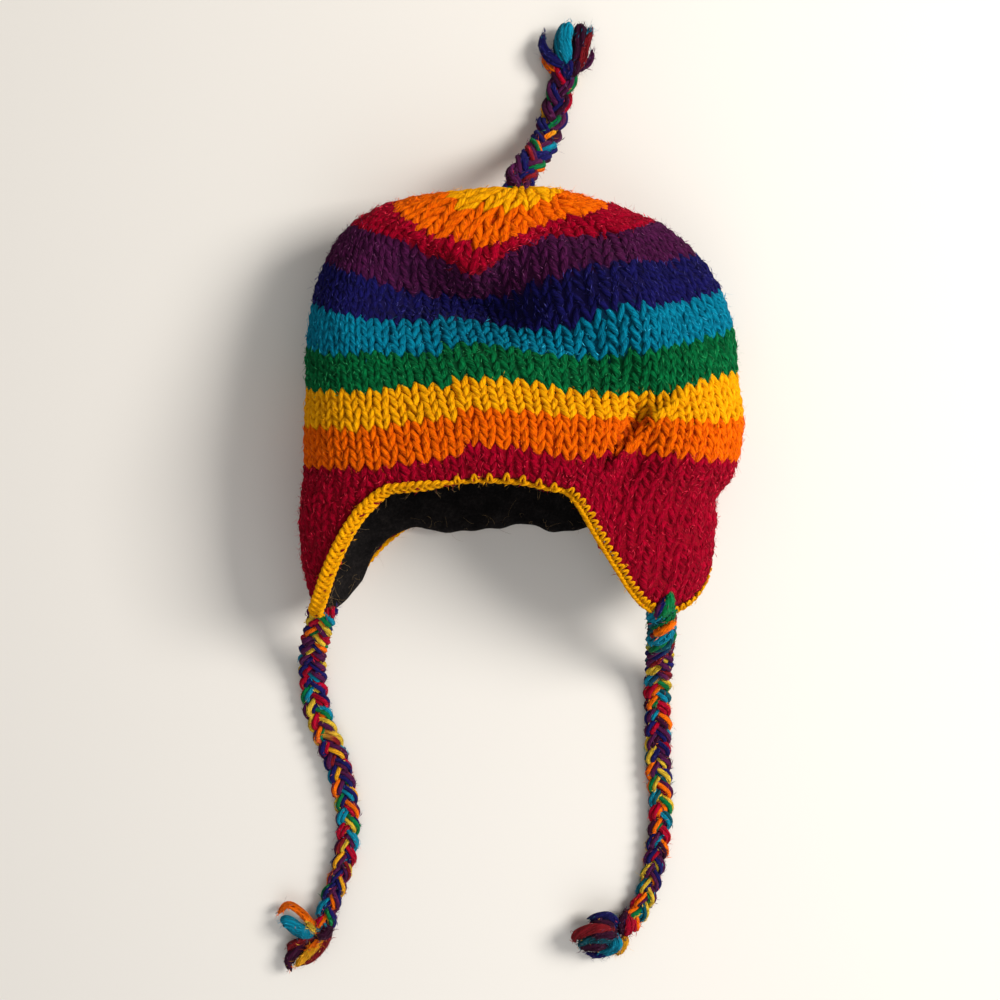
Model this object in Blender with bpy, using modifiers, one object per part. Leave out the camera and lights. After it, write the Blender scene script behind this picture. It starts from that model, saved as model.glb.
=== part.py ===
"""Hand-knitted chullo hat: a thick striped crown with two earflaps, a fleece lining, a crocheted
edge, two braided ties and a braided topknot. It lies on its lower side, mouth towards -Y, crown
towards +Y. The origin is in the middle of the flattened patch that it rests on, +Z up.

Lengths are in millimetres until the meshes are made. A place on the knitted fabric has two
coordinates: around, the length round the rim from the middle of the upper side, positive towards
+X; and up, the height above the rim in stripes, negative in the earflaps.
"""

import bmesh
import bpy
import numpy as np

MM = 0.001

# Driving dimensions, millimetres
GIRTH = 550.0
STRIPE = 20.5
APEX = 10.3
RIM_TO_REST = 60.0
WALL = 5.5
LINING = 1.6
GAP = 0.3
LINING_GAP = 1.3
PRESSED = 5.0
SQUARENESS = 2.4
RIM_RISE = 0.2
FLAP_POWER = 0.7
EDGING_HEIGHT = 4.4
EDGING_THICKNESS = 6.6
EDGING_DEPTH = 3.6
EDGING_SIDES = 6
BRAID_DIAMETER = 11.5
ANCHOR_DIAMETER = 5.0
ANCHOR_RISE = (-5.0, 0.0, 5.0, 10.0, 16.0)
HEAD_LENGTH = 9.0
FLOOR_CLEARANCE = 0.2

# Half width and half height of the plain section that shares the girth out round the rim
SECTION_HALF = (115.0, 44.0)
SECTION_STEPS = 1440

# The crown's point: the last ring stops short of it, and the folds fade out towards it (stripes)
CROWN_CLOSING = 0.3
CROWN_FADE = 2.6

# The lining stops above the knitted edge, and over the lower gap it laps past it: how far and over
# how much of its height (stripes), how far it lifts, and where round the rim
LINING_STOP = 0.05
LAP_LENGTH = 0.35
LAP_HEIGHT = 1.2
LAP_POWER = 1.5
LAP_SHARPNESS = 3.0
LAP_LIFT = 2.4
LAP_PLACE = 250.0
LAP_REACH = 92.0

# Steps over which the fabric's slope is taken, round the rim and up
SLOPE_AROUND = 4.0
SLOPE_UP = 0.2

# The grid of the bag, and the points and sides of what is round
COLUMNS = 64
ROWS = 17
BRAID_REFINING = 1.25
BRAID_BEVEL = 2
LOCK_BEVEL = 1
LOCK_POINTS = 5
WELD = 0.01

# Radii of a tassel's head in braid diameters, and of a lock's ends as a share of its middle
HEAD_PROFILE = (0.36, 0.5, 0.3)
LOCK_ENDS = 0.55
LOCK_END_TURN = 0.05

# The fabric in sections, one for each line between two stripes, from the tips of the earflaps to
# the point of the crown: the widest points at the left and right, the middle of the upper side and
# the middle of the lower side. The y values count from the rim. The last section lies past the
# point, on the far side, so that the crown closes in a round and not in a peak. Columns:
# stripe, left_x, left_y, right_x, right_y, top_y, top_z, under_y, under_z
SECTIONS = np.array([
    (-4.0, -112, -70, 90, -66, -64, 62, -88, 0),
    (-3.0, -115, -51, 97, -49, -47, 72, -71, 0),
    (-2.0, -119, -31, 103, -32, -28, 80, -53, 0),
    (-1.0, -120, -10, 105, -10, -7, 85, -35, 0),
    (0.0, -119, 10, 110, 10, 14, 88, -16, 0),
    (1.0, -119, 23, 115, 23, 32, 93, 5, 0),
    (2.0, -119, 45, 119, 46, 51, 93, 26, 0),
    (3.0, -118, 65, 116, 69, 68, 88, 47, 0),
    (4.0, -118, 87, 114, 93, 88, 83, 68, 0),
    (5.0, -115, 110, 108, 115, 106, 79, 89, 0),
    (6.0, -108, 132, 95, 135, 124, 76, 110, 0),
    (7.0, -94, 151, 75, 151, 137, 75, 129, 6),
    (8.0, -72, 163, 50, 161, 146, 74, 145, 17),
    (9.0, -43, 168, 24, 168, 156, 66, 156, 33),
    (9.65, -23, 170, 15, 170, 166, 61, 166, 38),
    (APEX, -3, 171, -3, 171, 171, 50, 171, 50),
    (10.95, 15, 170, -23, 170, 166, 38, 166, 61),
])

# How far each line between two stripes lies towards the crown, against the plain section, at
# stations round the upper side. Columns: stripe, then a shift for each station
STATIONS = np.array([-137, -100, -75, -50, -25, 0, 25, 50, 75, 100, 137.0])
LINES = np.array([
    (-1, 0, -2, -3, -2, 0, 0, -3, -2, -2, -2, 0),
    (0, 0, -3, -4, -3, 0, 0, -4, -2, -2, -2, 0),
    (1, 0, -4, -6, -4, -1, -3, -8, -3, -3, -3, 0),
    (2, 0, -4, -5, -2, -1, -2, -4, -4, -3, -4, 0),
    (3, 0, -4, -3, -1, -2, -3, -7, -9, -9, -3, 0),
    (4, 0, -6, -5, -5, -4, -6, -10, -12, -9, -4, 0),
    (5, 0, -5, -7, -5, -7, -12, -15, -7, -6, -5, 0),
    (6, 0, -5, -9, -12, -15, -14, -8, -1, -1, -4, 0),
    (7, 0, 0, -7, -14, -18, -6, 4, 3, 1, 0, 0),
    (8, 0, -5, -11, -14, -15, -9, -3, 2, 1, -2, 0),
    (9, 0, -4, -6, -7, -7, -6, -4, -2, 0, 0, 0),
    (APEX, 0, 0, 0, 0, 0, 0, 0, 0, 0, 0, 0),
])

# Dents (sink below 0) and swellings of the upper side, each a smooth hump. Columns:
# around, up, half_width, half_height, sink
FOLDS = {
    "dent_of_the_crown": (-20, 5.8, 36, 1.35, -35),
    "left_arm_of_the_dent": (-62, 5.6, 26, 0.9, -14),
    "slope_into_the_dent": (38, 4.2, 22, 0.9, -9),
    "lip_right_of_the_dent": (62, 5.2, 22, 1.2, 6),
    "fall_of_the_crown": (55, 7.8, 38, 1.1, -12),
    "crease_over_the_flap": (58, 1.8, 9, 1.4, -8),
    "swell_beside_the_crease": (84, 2.0, 18, 1.6, 5),
    "left_shoulder": (-92, 3.5, 26, 3.0, 5),
}

# The earflaps: place of the tip, length, and reach of the flap from its tip towards the gap of the
# upper side and towards the gap of the lower side. Columns:
# around, length, upper_reach, lower_reach
FLAPS = {
    "left": (-130.0, 71.0, 64.0, -90.0),
    "right": (100.0, 72.0, -76.0, 88.0),
}

# Centrelines of the braids, x, y and z, from the hat to the tassel
LEFT_TIE = (
    (-112.2, -122.5, 33.3), (-115.4, -132.5, 26.5), (-118.4, -142.5, 18.5), (-120.3, -153.5, 11.5),
    (-120.8, -165.0, 7.2), (-119.2, -178.0, 5.9), (-115.6, -191.0, 5.9), (-110.6, -204.0, 5.9),
    (-105.8, -217.5, 5.9), (-102.8, -231.0, 5.9), (-101.5, -245.0, 5.9), (-102.0, -259.5, 5.9),
    (-104.4, -273.5, 5.9), (-109.0, -286.5, 5.9), (-113.6, -299.0, 5.9), (-116.2, -310.5, 5.9),
)
RIGHT_TIE = (
    (74.9, -120.6, 47.8), (75.8, -129.5, 39.5), (76.7, -139.5, 29.5), (77.2, -150.5, 19.0),
    (77.5, -163.0, 10.6), (77.9, -176.5, 6.6), (78.3, -190.5, 5.9), (78.6, -204.5, 5.9),
    (79.2, -218.5, 5.9), (80.2, -232.5, 5.9), (80.4, -246.5, 5.9), (79.3, -260.5, 5.9),
    (76.8, -274.0, 5.9), (73.7, -287.0, 5.9), (69.5, -298.5, 5.9), (62.5, -309.5, 5.9),
)
TOP_BRAID = (
    (-3.0, 112.8, 45.0), (-1.2, 118.6, 43.8), (3.2, 124.5, 37.8), (7.8, 131.5, 28.2),
    (11.4, 139.0, 17.6), (14.5, 148.0, 9.6), (17.6, 158.0, 6.4), (20.6, 169.5, 5.9),
    (23.6, 181.0, 5.9),
)

# Locks of the tassels: where each lock's middle and end lie, in x and y from the end of the braid
# and in z from the surface, and its thickness. Columns:
# middle_x, middle_y, middle_z, end_x, end_y, end_z, thickness
LEFT_LOCKS = (
    (-14, 2, 9, -26, 9, 6, 7.0),
    (-12, -4, 5, -25, 3, 5, 7.0),
    (-10, -12, 6, -21, -17, 5, 8.0),
    (-4, -14, 5, -15, -25, 5, 9.0),
    (1, -10, 5, 2, -16, 4, 6.0),
    (-17, 2, 5, -22, 12, 4, 5.5),
)
RIGHT_LOCKS = (
    (-15, 4, 8, -26, 6, 6, 8.5),
    (-16, -3, 14, -30, -4, 8, 8.5),
    (-12, -13, 7, -25, -14, 5, 8.5),
    (-17, -2, 6, -29, -4, 6, 8.0),
    (-6, -14, 6, -12, -19, 5, 7.0),
    (-1, -11, 6, 0, -17, 4, 6.0),
)
TOP_LOCKS = (
    (-8, 8, 8, -10, 18, 6, 7.0),
    (-1, 11, 10, -1, 23, 6, 8.5),
    (5, 11, 6, 7, 22, 6, 8.5),
    (9, 8, 9, 12, 16, 6, 8.0),
    (11, 7, 6, 13, 2, 5, 6.5),
    (-10, 5, 6, -15, 5, 5, 5.5),
)

# Colours are linear RGB
MATERIALS = {
    "striped_wool": ((0.55, 0.10, 0.03), 0.9),
    "black_fleece": ((0.006, 0.005, 0.007), 1.0),
    "yellow_wool": ((0.80, 0.36, 0.02), 0.9),
    "mixed_wool": ((0.10, 0.06, 0.16), 0.9),
}


def weights(stations, place):
    """Share of each station in a smooth curve through all of them, at every place."""
    table = np.eye(len(stations))
    slope = np.gradient(table, stations, axis=0)
    place = np.clip(place, stations[0], stations[-1])
    row = np.clip(np.searchsorted(stations, place) - 1, 0, len(stations) - 2)
    span = (stations[row + 1] - stations[row])[..., None]
    f = (place - stations[row])[..., None] / span
    start = table[row] * (1 + 2 * f) * (1 - f) ** 2 + slope[row] * span * f * (1 - f) ** 2
    end = table[row + 1] * f * f * (3 - 2 * f) + slope[row + 1] * span * f * f * (f - 1)
    return start + end


def blunt(value):
    """Squares a sine or cosine off, so that a circle becomes the section of a flattened bag."""
    return np.sign(value) * np.abs(value) ** (2 / SQUARENESS)


def angle_round_rim(around):
    """Angle round the flattened section at a given length round the rim."""
    angle = np.linspace(-np.pi, np.pi, SECTION_STEPS + 1)
    step = np.hypot(np.diff(SECTION_HALF[0] * blunt(np.sin(angle))),
                    np.diff(SECTION_HALF[1] * blunt(np.cos(angle))))
    length = np.concatenate([[0], np.cumsum(step)])
    return np.interp(around, (length / length[-1] - 0.5) * GIRTH, angle)


def wrapped(around):
    """Length round the rim, brought between minus and plus half the girth."""
    return (around + GIRTH / 2) % GIRTH - GIRTH / 2


def rim_height(around):
    """Height of the knitted edge in stripes: level over the gaps, a rounded tongue at each flap."""
    height = np.full(np.shape(around), RIM_RISE)
    for place, length, upper, lower in FLAPS.values():
        off = wrapped(around - place)
        share = np.clip(np.where(off * upper > 0, off / upper, off / lower), 0, 1)
        height = height - length / STRIPE * (0.5 + 0.5 * np.cos(np.pi * share)) ** FLAP_POWER
    return height


def fabric(around, up):
    """Points of the outer face of the knitted fabric."""
    around, up = np.broadcast_arrays(wrapped(np.asarray(around, float)), np.asarray(up, float))
    section = weights(SECTIONS[:, 0], up) @ SECTIONS[:, 1:]
    left_x, left_y, right_x, right_y, top_y, top_z, under_y, under_z = np.moveaxis(section, -1, 0)
    angle = angle_round_rim(around)
    sine, cosine = np.sin(angle), np.cos(angle)
    x = (left_x + right_x) / 2 + (right_x - left_x) / 2 * blunt(sine)
    y = np.where(cosine > 0, top_y, under_y) * cosine**2 + np.where(sine > 0, right_y, left_y) * sine**2
    fade = np.clip((APEX - up) / CROWN_FADE, 0, 1)
    fade = fade * fade * (3 - 2 * fade)
    y += fade * np.sum((weights(LINES[:, 0], up) @ LINES[:, 1:]) * weights(STATIONS, around), axis=-1)
    z = under_z + (top_z - under_z) * (1 + blunt(cosine)) / 2
    for place, height, half_width, half_height, sink in FOLDS.values():
        hump = np.exp(-(((around - place) / half_width) ** 2) - ((up - height) / half_height) ** 2)
        z += fade * sink * hump
    return np.stack([x, y - RIM_TO_REST, np.maximum(z - PRESSED, 0)], -1)


def inward(around, up):
    """Unit vectors into the hat, square to the fabric, over about a stitch."""
    across = fabric(around + SLOPE_AROUND, up) - fabric(around - SLOPE_AROUND, up)
    along = fabric(around, up + SLOPE_UP) - fabric(around, up - SLOPE_UP)
    normal = np.cross(along, across)
    return normal / np.maximum(np.linalg.norm(normal, axis=-1, keepdims=True), 1e-9)


def bag_places(rim, closing):
    """Grid of places from a rim, given for each column, to just short of the point of the crown."""
    around = (np.arange(COLUMNS) - COLUMNS / 2) * GIRTH / COLUMNS
    share = np.linspace(0, 1, ROWS + 1)[:, None]
    low = rim(around)[None, :]
    return np.broadcast_to(around, (ROWS + 1, COLUMNS)), low + (APEX - closing - low) * share


def new_object(name, mesh, material):
    """Links a mesh as a smooth-shaded object of the hat, with its material."""
    mesh.materials.append(bpy.data.materials[material])
    mesh.shade_smooth()
    obj = bpy.data.objects.new(name, mesh)
    bpy.data.collections["chullo"].objects.link(obj)
    return obj


def loft(name, rings, cap_point=None):
    """Mesh of quads between rings of equal length, which join up, or end at a point."""
    count, size = rings.shape[:2]
    index = np.arange(count * size).reshape(count, size)
    after = np.roll(index, -1, axis=0) if cap_point is None else index[1:]
    before = index if cap_point is None else index[:-1]
    quads = np.stack([before, np.roll(before, -1, 1), np.roll(after, -1, 1), after], -1)
    faces = quads.reshape(-1, 4).tolist()
    points = rings.reshape(-1, 3)
    if cap_point is not None:
        points = np.vstack([points, cap_point])
        ring = index[-1].tolist()
        faces += [(a, b, count * size) for a, b in zip(ring, ring[1:] + ring[:1])]
    mesh = bpy.data.meshes.new(name)
    mesh.from_pydata((points * MM).tolist(), [], faces)
    mesh.validate()
    return mesh


def shell(name, rim, closing, depth, lift, wall, material):
    """A bag of fabric: its outer face lies at a depth under the knitted face, its wall inside it."""
    around, up = bag_places(rim, closing)
    mesh = loft(name, fabric(around, up), cap_point=fabric(0, APEX))
    places = np.empty((len(mesh.vertices), 3))
    normals = np.empty_like(places)
    mesh.vertices.foreach_get("co", places.ravel())
    mesh.vertex_normals.foreach_get("vector", normals.ravel())
    depths = np.append(depth + lift(around, up).ravel(), depth)
    places -= normals * depths[:, None] * MM
    mesh.vertices.foreach_set("co", places.ravel())
    obj = new_object(name, mesh, material)
    solidify = obj.modifiers.new("wall", "SOLIDIFY")
    solidify.thickness = wall * MM
    solidify.offset = -1


def lower_gap(around):
    """1 in the middle of the lower side's gap between the flaps, falling smoothly to 0 at the flaps."""
    off = np.abs(wrapped(around - LAP_PLACE)) / LAP_REACH
    return 0.5 + 0.5 * np.cos(np.pi * np.clip(off, 0, 1))


def lower_edge(around):
    """1 along most of the lower gap, where the lining laps over the edging, and 0 at the flaps."""
    return np.clip(LAP_SHARPNESS * lower_gap(around), 0, 1)


def knit_body():
    """The crown and its earflaps, knitted in one piece."""
    shell("knit_body", rim_height, CROWN_CLOSING, 0, lambda around, up: 0 * up, WALL, "striped_wool")


def fleece_lining():
    """The lining: it stops at the edging, and over the lower gap its cut edge laps past it."""
    def rim(around):
        return rim_height(around) + LINING_STOP - (LAP_LENGTH + LINING_STOP) * lower_gap(around) ** LAP_POWER

    def lift(around, up):
        near_edge = np.clip(1 - (up - rim_height(around)) / LAP_HEIGHT, 0, 1)
        return LAP_LIFT * lower_edge(around) * near_edge

    shell("fleece_lining", rim, CROWN_CLOSING, WALL + LINING_GAP, lift, LINING, "black_fleece")


def crochet_edging():
    """A flat cord of crochet carried along the knitted edge, all the way round."""
    around = (np.arange(COLUMNS) - COLUMNS / 2) * GIRTH / COLUMNS
    edge = rim_height(around)
    here = fabric(around, edge)
    depth = inward(around, edge)
    ahead = np.roll(here, -1, axis=0) - np.roll(here, 1, axis=0)
    ahead /= np.linalg.norm(ahead, axis=-1, keepdims=True)
    outwards = np.cross(depth, ahead)
    outwards /= np.linalg.norm(outwards, axis=-1, keepdims=True)
    gap_share = lower_edge(around)[:, None]
    thickness = EDGING_THICKNESS + (WALL - 2 * GAP - EDGING_THICKNESS) * gap_share
    centre = here + depth * (WALL / 2 + (EDGING_DEPTH - WALL / 2) * (1 - gap_share))
    centre = centre + outwards * (EDGING_HEIGHT / 2 + 2 * GAP)
    turn = np.linspace(0, 2 * np.pi, EDGING_SIDES, endpoint=False)
    rings = (centre[:, None] + depth[:, None] * np.cos(turn)[:, None] * thickness[:, None] / 2
             - outwards[:, None] * np.sin(turn)[:, None] * EDGING_HEIGHT / 2)
    new_object("crochet_edging", loft("crochet_edging", rings), "yellow_wool")


def smooth_route(route):
    """Points spread along the smooth curve through a route's own points."""
    knots = np.array(route)
    place = np.linspace(0, len(knots) - 1, round(BRAID_REFINING * len(knots)))
    return weights(np.arange(len(knots), dtype=float), place) @ knots


def rod(name, points, radii, bevel):
    """Mesh of a round rod along points, with a radius at each, its caps welded."""
    curve = bpy.data.curves.new(name, "CURVE")
    curve.dimensions = "3D"
    curve.bevel_depth = 1.0
    curve.bevel_resolution = bevel
    curve.use_fill_caps = True
    spline = curve.splines.new("POLY")
    spline.points.add(len(points) - 1)
    spline.points.foreach_set("co", np.column_stack([points * MM, np.ones(len(points))]).ravel())
    spline.points.foreach_set("radius", np.asarray(radii) * MM)
    source = bpy.data.objects.new(name, curve)
    bpy.context.scene.collection.objects.link(source)
    mesh = bpy.data.meshes.new_from_object(source.evaluated_get(bpy.context.evaluated_depsgraph_get()))
    bpy.data.objects.remove(source)
    bpy.data.curves.remove(curve)
    shape = bmesh.new()
    shape.from_mesh(mesh)
    bmesh.ops.remove_doubles(shape, verts=shape.verts, dist=WELD * MM)
    shape.to_mesh(mesh)
    shape.free()
    return mesh


def braid(name, route):
    """A braid's plain round form along its route."""
    points = smooth_route(route)
    radii = np.full(len(points), BRAID_DIAMETER / 2)
    new_object(name, rod(name, points, radii, BRAID_BEVEL), "mixed_wool")


def tassel(name, end, before, locks):
    """Locks of loose yarn fused to a head at a braid's end."""
    end, before = np.array(end), np.array(before)
    away = (end - before) / np.linalg.norm(end - before)
    start = end + away * (GAP + HEAD_LENGTH / 2)
    head = rod(name, np.array([end + away * GAP, start, start + away * HEAD_LENGTH / 2]),
               BRAID_DIAMETER * np.array(HEAD_PROFILE), BRAID_BEVEL)
    obj = new_object(name, head, "mixed_wool")
    cutters = bpy.data.collections["chullo_locks"]
    for number, (mx, my, mz, ex, ey, ez, thickness) in enumerate(locks):
        middle = np.array([end[0] + mx, end[1] + my, mz])
        tip = np.array([end[0] + ex, end[1] + ey, ez])
        share = np.linspace(0, 1, LOCK_POINTS)[:, None]
        path = start * (1 - share) ** 2 + 2 * middle * share * (1 - share) + tip * share**2
        turn = LOCK_END_TURN + (1 - 2 * LOCK_END_TURN) * share[:, 0]
        radii = thickness / 2 * (LOCK_ENDS + (1 - LOCK_ENDS) * np.sin(np.pi * turn))
        path[:, 2] = np.maximum(path[:, 2], radii + FLOOR_CLEARANCE)
        lock = bpy.data.objects.new(f"{name}_lock_{number}", rod(name, path, radii, LOCK_BEVEL))
        lock.hide_render = True
        lock.display_type = "WIRE"
        cutters.objects.link(lock)
    union = obj.modifiers.new("locks", "BOOLEAN")
    union.operation = "UNION"
    union.operand_type = "COLLECTION"
    union.collection = cutters
    union.solver = "EXACT"
    freeze(obj)
    for lock in list(cutters.objects):
        bpy.data.objects.remove(lock)


def freeze(obj):
    """Puts an object's evaluated form in its own mesh and drops its modifiers."""
    mesh = bpy.data.meshes.new_from_object(obj.evaluated_get(bpy.context.evaluated_depsgraph_get()))
    obj.modifiers.clear()
    obj.data = mesh


def tie_anchor():
    """The loop of yarn that fastens the right tie: it lies on the flap and ends at the braid."""
    place = FLAPS["right"][0]
    tip = rim_height(np.array([place]))[0]
    up = tip + np.array(ANCHOR_RISE) / STRIPE
    points = fabric(np.full(len(up), place), up)
    points -= inward(np.full(len(up), place), up) * (ANCHOR_DIAMETER / 2 + 2 * GAP)
    mesh = rod("right_tie_anchor", points, np.full(len(up), ANCHOR_DIAMETER / 2), BRAID_BEVEL)
    new_object("right_tie_anchor", mesh, "mixed_wool")


def new_material(name, colour, roughness):
    """Principled material of one of the yarns or cloths."""
    material = bpy.data.materials.new(name)
    material.use_nodes = True
    shader = material.node_tree.nodes["Principled BSDF"]
    shader.inputs["Base Color"].default_value = (*colour, 1)
    shader.inputs["Roughness"].default_value = roughness
    shader.inputs["Metallic"].default_value = 0


def main():
    for obj in list(bpy.data.objects):
        bpy.data.objects.remove(obj)
    for name in ("chullo", "chullo_locks"):
        bpy.context.scene.collection.children.link(bpy.data.collections.new(name))
    for name, (colour, roughness) in MATERIALS.items():
        new_material(name, colour, roughness)
    knit_body()
    fleece_lining()
    crochet_edging()
    tie_anchor()
    for side, route, locks in (
        ("left_tie", LEFT_TIE, LEFT_LOCKS),
        ("right_tie", RIGHT_TIE, RIGHT_LOCKS),
        ("top", TOP_BRAID, TOP_LOCKS),
    ):
        braid(side + "_braid", route)
        tassel(side + "_tassel", route[-1], route[-2], locks)


main()
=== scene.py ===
"""Looks of a hand-knitted chullo hat: a striped wool crown with two earflaps, a black fleece lining,
a crocheted yellow edge, two braided ties and a braided topknot, lying on a table.

Every stitch is its own loop of yarn. Lengths are in millimetres until a mesh is made. A place on the
knitted fabric has two coordinates: around, the length round the rim from the middle of the upper
side, positive towards +X; and up, the height above the rim in stripes, negative in the earflaps.
"""

import bpy
import numpy as np
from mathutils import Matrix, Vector


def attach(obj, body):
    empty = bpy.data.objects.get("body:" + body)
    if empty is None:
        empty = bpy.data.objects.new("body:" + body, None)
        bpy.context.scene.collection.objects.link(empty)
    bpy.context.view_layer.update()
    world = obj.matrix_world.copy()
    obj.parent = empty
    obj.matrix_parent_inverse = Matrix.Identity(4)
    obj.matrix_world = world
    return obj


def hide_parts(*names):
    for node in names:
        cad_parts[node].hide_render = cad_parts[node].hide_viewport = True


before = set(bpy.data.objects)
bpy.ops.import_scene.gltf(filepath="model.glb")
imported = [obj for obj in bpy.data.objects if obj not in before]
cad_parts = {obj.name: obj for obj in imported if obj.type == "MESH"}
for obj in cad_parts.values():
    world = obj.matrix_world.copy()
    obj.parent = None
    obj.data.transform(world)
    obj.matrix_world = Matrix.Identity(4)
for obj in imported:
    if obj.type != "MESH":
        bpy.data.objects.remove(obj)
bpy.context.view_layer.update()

MM = 0.001

# The fabric's form, the same as the solids'. Depths and thicknesses are in millimetres, and what
# reaches up the fabric, such as the rise, stop, lap height and fade, is in stripes
GIRTH = 550.0
STRIPE = 20.5
APEX = 10.3
RIM_TO_REST = 60.0
WALL = 5.5
LINING = 1.6
LINING_GAP = 1.3
PRESSED = 5.0
SQUARENESS = 2.4
RIM_RISE = 0.2
FLAP_POWER = 0.7
SECTION_HALF = (115.0, 44.0)
SECTION_STEPS = 1440
GIRTH_POINTS = 129
CROWN_FADE = 2.6
LINING_STOP = 0.05
SHELL_ROWS_POWER = 1.15
SHELL_POINT_STEP = 0.4
LAP_HEIGHT = 1.2
LAP_SHARPNESS = 3.0
LAP_LIFT = 2.4
LAP_PLACE = 250.0
LAP_REACH = 92.0
LAP_REACH_LEFT = 140.0
LAP_FULLNESS_LEFT = 1.5
SLOPE_AROUND = 4.0
SLOPE_UP = 0.2

# The fabric in sections from the tips of the earflaps to the point of the crown. Columns:
# stripe, left_x, left_y, right_x, right_y, top_y, top_z, under_y, under_z
SECTIONS = np.array([
    (-4.0, -112, -70, 90, -66, -64, 62, -88, 0),
    (-3.0, -115, -51, 97, -49, -47, 72, -71, 0),
    (-2.0, -119, -31, 103, -32, -28, 80, -53, 0),
    (-1.0, -120, -10, 105, -10, -7, 85, -35, 0),
    (0.0, -119, 10, 110, 10, 14, 88, -16, 0),
    (1.0, -119, 23, 115, 23, 32, 93, 5, 0),
    (2.0, -119, 45, 119, 46, 51, 93, 26, 0),
    (3.0, -118, 65, 116, 69, 68, 88, 47, 0),
    (4.0, -118, 87, 114, 93, 88, 83, 68, 0),
    (5.0, -115, 110, 108, 115, 106, 79, 89, 0),
    (6.0, -108, 132, 95, 135, 124, 76, 110, 0),
    (7.0, -94, 151, 75, 151, 137, 75, 129, 6),
    (8.0, -72, 163, 50, 161, 146, 74, 145, 17),
    (9.0, -43, 168, 24, 168, 156, 66, 156, 33),
    (9.65, -23, 170, 15, 170, 166, 61, 166, 38),
    (APEX, -3, 171, -3, 171, 171, 50, 171, 50),
    (10.95, 15, 170, -23, 170, 166, 38, 166, 61),
])

# How far each line between two stripes lies towards the crown, at stations round the upper side.
# Columns: stripe, then a shift for each station
STATIONS = np.array([-137, -100, -75, -50, -25, 0, 25, 50, 75, 100, 137.0])
LINES = np.array([
    (-1, 0, -2, -3, -2, 0, 0, -3, -2, -2, -2, 0),
    (0, 0, -3, -4, -3, 0, 0, -4, -2, -2, -2, 0),
    (1, 0, -4, -6, -4, -1, -3, -8, -3, -3, -3, 0),
    (2, 0, -4, -5, -2, -1, -2, -4, -4, -3, -4, 0),
    (3, 0, -4, -3, -1, -2, -3, -7, -9, -9, -3, 0),
    (4, 0, -6, -5, -5, -4, -6, -10, -12, -9, -4, 0),
    (5, 0, -5, -7, -5, -7, -12, -15, -7, -6, -5, 0),
    (6, 0, -5, -9, -12, -15, -14, -8, -1, -1, -4, 0),
    (7, 0, 0, -1, -9, -17, -6, 4, 3, 1, 0, 0),
    (8, 0, -5, -8, -11, -15, -9, -3, 2, 1, -2, 0),
    (9, 0, -4, -6, -7, -7, -6, -4, -2, 0, 0, 0),
    (APEX, 0, 0, 0, 0, 0, 0, 0, 0, 0, 0, 0),
])

# Dents and swellings of the upper side. Columns: around, up, half_width, half_height, sink
FOLDS = {
    "dent_of_the_crown": (-20, 5.8, 36, 1.35, -35),
    "left_arm_of_the_dent": (-62, 5.6, 26, 0.9, -14),
    "slope_into_the_dent": (38, 4.2, 22, 0.9, -9),
    "lip_right_of_the_dent": (62, 5.2, 22, 1.2, 6),
    "fall_of_the_crown": (55, 7.8, 38, 1.1, -12),
    "crease_over_the_flap": (58, 1.8, 9, 1.4, -8),
    "swell_beside_the_crease": (84, 2.0, 18, 1.6, 5),
    "left_shoulder": (-92, 3.5, 26, 3.0, 5),
}

# The earflaps. Columns: around, length, upper_reach, lower_reach
FLAPS = {
    "left": (-130.0, 75.0, 64.0, -90.0),
    "right": (100.0, 72.0, -76.0, 88.0),
}

# Centrelines of the braids, x, y and z, from the hat to the tassel
LEFT_TIE = (
    (-112.2, -122.5, 33.3), (-115.4, -132.5, 26.5), (-118.4, -142.5, 18.5), (-120.3, -153.5, 11.5),
    (-120.8, -165.0, 7.2), (-119.2, -178.0, 5.9), (-115.6, -191.0, 5.9), (-110.6, -204.0, 5.9),
    (-105.8, -217.5, 5.9), (-102.8, -231.0, 5.9), (-101.5, -245.0, 5.9), (-102.0, -259.5, 5.9),
    (-104.4, -273.5, 5.9), (-109.0, -286.5, 5.9), (-113.6, -299.0, 5.9), (-116.2, -310.5, 5.9),
)
RIGHT_TIE = (
    (74.9, -120.6, 47.8), (75.8, -129.5, 39.5), (76.7, -139.5, 29.5), (77.2, -150.5, 19.0),
    (77.5, -163.0, 10.6), (77.9, -176.5, 6.6), (78.3, -190.5, 5.9), (78.6, -204.5, 5.9),
    (79.2, -218.5, 5.9), (80.2, -232.5, 5.9), (80.4, -246.5, 5.9), (79.3, -260.5, 5.9),
    (76.8, -274.0, 5.9), (73.7, -287.0, 5.9), (69.5, -298.5, 5.9), (62.5, -309.5, 5.9),
)
TOP_BRAID = (
    (-3.0, 112.8, 45.0), (-1.2, 118.6, 43.8), (3.2, 124.5, 37.8), (7.8, 131.5, 28.2),
    (11.4, 139.0, 17.6), (14.5, 148.0, 9.6), (17.6, 158.0, 6.4), (20.6, 169.5, 5.9),
    (23.6, 181.0, 5.9),
)

# A crease over the right earflap, sharper than the solid's. Columns: stripe, place round the rim, depth
# and half width of the groove, rise of the lip beside it
CREASE = np.array([
    (0.7, 42, 0, 2.4, 0),
    (1.05, 45, 4.6, 2.4, 3.2),
    (1.6, 51, 5.8, 2.3, 4.2),
    (2.2, 58.5, 5.2, 2.8, 3.8),
    (2.8, 65, 3.6, 4.5, 2.6),
    (3.2, 77, 2.0, 6.0, 1.0),
    (3.6, 90, 0, 6.0, 0),
])

# The lip's distance from the groove and its half width; the share of the groove's depth that the
# ground under the stitches sinks by, and that bell's half width
CREASE_LIP = (6.6, 4.6)
CREASE_GROUND = (0.4, 5.0)

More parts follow.
